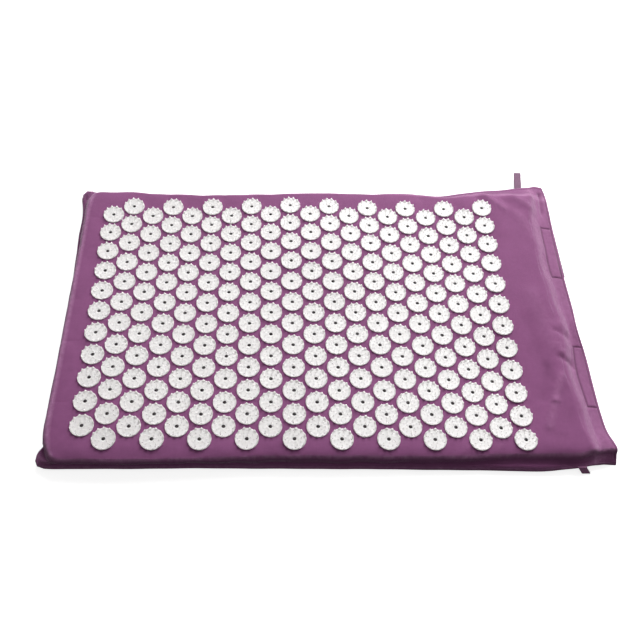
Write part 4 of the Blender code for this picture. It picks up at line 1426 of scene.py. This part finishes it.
def plum_cotton():
    paint = Paint("plum_cotton")
    thread = paint.attribute("thread", "Vector")
    highlight_and_wear = paint.attribute("highlight_and_wear", "Fac")
    split = paint.node("ShaderNodeSeparateXYZ", {0: thread}).outputs
    turns = [paint.maths("MULTIPLY", split[k], math.pi / WEAVE_PITCH) for k in (0, 1)]
    bars = [paint.maths("ABSOLUTE", paint.maths("SINE", turn)) for turn in turns]
    cells = [paint.maths("FLOOR", paint.maths("MULTIPLY", split[k], 1.0 / WEAVE_PITCH)) for k in (0, 1)]
    over = paint.maths("PINGPONG", paint.maths("ADD", cells[0], cells[1]), 1.0)
    warp = paint.maths("MULTIPLY", bars[0], over)
    weft = paint.maths("MULTIPLY", bars[1], paint.maths("SUBTRACT", 1.0, over))
    weave = paint.maths("ADD", warp, weft)
    slub_along = paint.noise(paint.stretch(thread, (60.0, 1400.0, 1.0)), 1.0, 2.0)
    slub_across = paint.noise(paint.stretch(thread, (1400.0, 60.0, 1.0)), 1.0, 2.0)
    slubs = paint.maths("ADD", slub_along, slub_across)
    patches = paint.noise(thread, 22.0, 4.0, 0.6)
    mottle = paint.noise(thread, 160.0, 3.0, 0.6)
    colour = paint.mix(paint.span(patches, 0.35, 0.65, 0.0, 1.0), PLUM_DARK, PLUM)
    colour = paint.mix(paint.between(mottle, 0.0, 0.35), colour, PLUM_LIGHT)
    colour = paint.mix(paint.span(slubs, 0.75, 1.25, 0.0, 0.30), colour, PLUM_DARK)
    colour = paint.mix(paint.span(weave, 0.0, 0.5, 0.25, 0.0), colour, PLUM_DARK)
    # Painted highlights, partly real wear: the cloth turns to the lighter plum on edges, ridge, lip, fold
    # crests and ears.
    highlight_and_wear_share = paint.maths("MULTIPLY", highlight_and_wear, paint.span(mottle, 0.35, 0.75, 0.35, 1.0))
    colour = paint.mix(highlight_and_wear_share, colour, PLUM_HIGHLIGHT_AND_WEAR)
    # Painted shade in the hollows of folds and the grooves of the stitches.
    crease_shade = paint.maths("MULTIPLY", paint.attribute("crease_shade", "Fac"), CREASE_SHADE_SHARE)
    colour = paint.mix(crease_shade, colour, PLUM_CREASE_SHADE)
    rough = paint.between(mottle, 0.72, 0.88)
    normal = paint.bump(patches, PATCH_RELIEF, 0.35)
    normal = paint.bump(slubs, SLUB_RELIEF, 0.5, normal)
    normal = paint.bump(weave, WEAVE_RELIEF, 0.6, normal)
    return paint.finish(colour, rough, normal, Sheen_Weight=0.70, Sheen_Roughness=0.32,
                        Sheen_Tint=SHEEN_TINT, Specular_IOR_Level=0.3)


def plum_thread():
    paint = Paint("plum_thread")
    place = paint.place()
    twist = paint.noise(place, 1800.0, 1.0)
    tone = paint.noise(place, 90.0, 2.0)
    # Painted shade: the thread is darker than the cloth it is sewn into.
    colour = paint.tones(tone, *THREAD_SHADE_TONES)
    colour = paint.mix(paint.span(twist, 0.4, 0.6, 0.35, 0.0), colour, PLUM_DARK)
    rough = paint.between(twist, 0.50, 0.68)
    return paint.finish(colour, rough, paint.bump(twist, TWIST_RELIEF, 0.6), Sheen_Weight=0.2, IOR=1.45)


def plum_tape(name, low, high):
    paint = Paint(name)
    place = paint.place()
    split = paint.node("ShaderNodeSeparateXYZ", {0: place}).outputs
    ways = [paint.maths("MULTIPLY", split[k], TWILL_TURNS) for k in (0, 1)]
    slant = paint.maths("ADD", *ways)
    twill = paint.span(paint.maths("SINE", slant), -1.0, 1.0, 0.0, 1.0)
    tone = paint.noise(place, 120.0, 3.0)
    colour = paint.tones(tone, low, high)
    colour = paint.mix(paint.span(twill, 0.0, 0.4, 0.4, 0.0), colour, PLUM_DARK)
    rough = paint.between(tone, 0.66, 0.8)
    return paint.finish(colour, rough, paint.bump(twill, TAPE_RELIEF, 0.7), Sheen_Weight=0.25, IOR=1.45)


def dark_tape():
    paint = Paint("dark_tape")
    place = paint.place()
    waves = {"Vector": place, "Scale": 260.0, "Distortion": 0.6}
    ribs = paint.node("ShaderNodeTexWave", waves).outputs["Fac"]
    tone = paint.noise(place, 300.0, 2.0)
    colour = paint.tones(tone, *PATCH_TONES)
    rough = paint.between(tone, 0.45, 0.62)
    return paint.finish(colour, rough, paint.bump(ribs, TAPE_RELIEF, 0.5), Sheen_Weight=0.15, IOR=1.5)


def cream_foam():
    paint = Paint("cream_foam")
    place = paint.place()
    cells = paint.node("ShaderNodeTexVoronoi", {"Vector": place, "Scale": 900.0}).outputs["Distance"]
    big = paint.node("ShaderNodeTexVoronoi", {"Vector": place, "Scale": 320.0}).outputs["Distance"]
    tone = paint.noise(place, 14.0, 3.0)
    colour = paint.tones(tone, *FOAM_TONES)
    colour = paint.mix(paint.span(cells, 0.0, 0.35, 0.55, 0.0), colour, FOAM_CELL)
    height = paint.maths("ADD", cells, paint.maths("MULTIPLY", big, 0.6))
    rough = paint.span(cells, 0.0, 0.6, 0.98, 0.86)
    return paint.finish(colour, rough, paint.bump(height, FOAM_RELIEF, 0.8), IOR=1.4)


def white_plastic():
    paint = Paint("white_plastic")
    place = paint.place()
    drift = paint.noise(place, 9.0, 2.0)
    grain = paint.noise(place, 700.0, 3.0, 0.6)
    haze = paint.noise(place, 130.0, 3.0)
    colour = paint.mix(paint.span(drift, 0.35, 0.65, 0.0, 1.0), *PLASTIC_TONES)
    colour = paint.mix(paint.span(haze, 0.35, 0.75, 0.0, 0.35), colour, PLASTIC_HAZE)
    rough = paint.between(haze, 0.34, 0.50)
    # Painted light: a faint glow lightens the plastic's shaded sides.
    return paint.finish(colour, rough, paint.bump(grain, GRAIN_RELIEF, 0.35), IOR=1.47,
                        Subsurface_Weight=0.90, Subsurface_Radius=(1.0, 1.0, 1.0),
                        Subsurface_Scale=PLASTIC_DEPTH, Emission_Color=PLASTIC_PAINTED_GLOW,
                        Emission_Strength=PLASTIC_PAINTED_GLOW_STRENGTH)


# The stud is a piece of its own, painted near black to stand for the shade in the disc's centre hole.
def stud_painted_shade():
    paint = Paint("stud_painted_shade")
    tone = paint.noise(paint.place(), 400.0, 2.0)
    colour = paint.tones(tone, *STUD_SHADE_TONES)
    rough = paint.between(tone, 0.30, 0.45)
    return paint.finish(colour, rough, paint.bump(tone, STUD_RELIEF, 0.4), IOR=1.45)


def floor_paint():
    paint = Paint("studio_floor")
    tone = paint.noise(paint.place(), 1.5, 2.0)
    colour = paint.mix(tone, *FLOOR_TONES)
    return paint.finish(colour, paint.between(tone, 0.85, 0.95), None, Specular_IOR_Level=0.0,
                        Emission_Color=WHITE, Emission_Strength=FLOOR_GLOW_STRENGTH)


def dress(things, material):
    """Give all the things one material."""
    for thing in things:
        thing.data.materials.clear()
        thing.data.materials.append(material)


# Studio
FLOOR_PROFILE = ((0.0, 0.0), (4.0, 0.0), (5.0, 0.08), (5.8, 0.4), (6.4, 1.0), (6.7, 2.0), (6.8, 5.0))
FLOOR_SIDES = 48
FLOOR_LEVEL = -0.0002
KEY_PLACE = (0.80, 1.75, 1.40)
KEY_SIZE = 2.2
KEY_POWER = 104.0
SKY = 0.22
SKY_COLOUR = (1.0, 0.99, 0.985, 1.0)


def build_floor():
    """A pale floor that turns up into a pale backdrop all round. It bounces no light on the object."""
    bm = bmesh.new()
    rings = [circle(bm, radius, height, FLOOR_SIDES) for radius, height in FLOOR_PROFILE[1:]]
    for inner, outer in zip(rings, rings[1:]):
        skirt(bm, inner, outer)
    bm.faces.new(rings[0])
    bmesh.ops.recalc_face_normals(bm, faces=bm.faces)
    floor = new_mesh_object("studio_floor", *points_and_faces(bm))
    floor.location.z = FLOOR_LEVEL
    floor.visible_diffuse = False
    floor.visible_glossy = False
    floor.visible_shadow = False
    dress([floor], floor_paint())


def build_light():
    """One large soft light behind the mat, and a weak even light from above."""
    scene = bpy.context.scene
    world = bpy.data.worlds.new("studio")
    scene.world = world
    world.use_nodes = True
    tree = world.node_tree
    place = tree.nodes.new("ShaderNodeTexCoord")
    split = tree.nodes.new("ShaderNodeSeparateXYZ")
    tree.links.new(place.outputs["Generated"], split.inputs[0])
    value = split.outputs["Z"]
    for operation, number in (("GREATER_THAN", 0.0), ("MULTIPLY", SKY)):
        step = tree.nodes.new("ShaderNodeMath")
        step.operation = operation
        step.inputs[1].default_value = number
        tree.links.new(value, step.inputs[0])
        value = step.outputs[0]
    tree.links.new(value, tree.nodes["Background"].inputs["Strength"])
    tree.nodes["Background"].inputs["Color"].default_value = SKY_COLOUR

    key = bpy.data.lights.new("key", "AREA")
    key.shape = "SQUARE"
    key.size = KEY_SIZE
    key.energy = KEY_POWER
    lamp = bpy.data.objects.new("key", key)
    lamp.location = KEY_PLACE
    lamp.rotation_euler = Vector(KEY_PLACE).to_track_quat("Z", "Y").to_euler()
    lamp.visible_camera = False
    scene.collection.objects.link(lamp)


def build_studio():
    scene = bpy.context.scene
    scene.view_settings.view_transform = "Standard"
    scene.view_settings.look = "None"
    build_floor()
    build_light()
    data = bpy.data.cameras.new("camera")
    data.lens = CAMERA_LENS_MM
    data.sensor_width = CAMERA_SENSOR_MM
    data.clip_start, data.clip_end = CAMERA_CLIP
    camera = bpy.data.objects.new("camera", data)
    camera.location = CAMERA_PLACE
    camera.rotation_euler = Euler([math.radians(a) for a in CAMERA_ANGLES_DEG], "XYZ")
    scene.collection.objects.link(camera)
    scene.camera = camera


def main():
    build_studio()
    cotton = plum_cotton()
    top, top_seat = build_cover(1)
    bottom, bottom_seat = build_cover(-1)
    dress([top, bottom], cotton)
    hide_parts("cover_top_panel", "closure_flap")
    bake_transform(top)
    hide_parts("cover_bottom_panel")
    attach(bottom, "mat")

    foam = build_foam(top_seat)
    dress([foam], cream_foam())
    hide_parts("foam_core")
    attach(foam, "mat")

    discs, studs = build_discs(top_seat)
    dress(discs, white_plastic())
    # The studs are painted near black: painted shade of the centre holes.
    dress([studs], stud_painted_shade())
    dress(build_stitches(top_seat, bottom_seat), plum_thread())
    dress(build_tapes(), dark_tape())
    far = build_loop("far", 1, FAR_LOOP_LENGTH, FAR_LOOP_SLANT, FAR_LOOP_DROOP_SHARE)
    near = build_loop("near", -1, NEAR_LOOP_LENGTH, NEAR_LOOP_SLANT, NEAR_LOOP_DROOP_SHARE)
    # One tape in two copies: painted darker on the far loop and lighter on the near loop, for how light falls
    # on each.
    dress([far], plum_tape("plum_tape", *FAR_LOOP_SHADED_TONES))
    dress([near], plum_tape("painted_lit_tape", *NEAR_LOOP_LIT_TONES))


main()
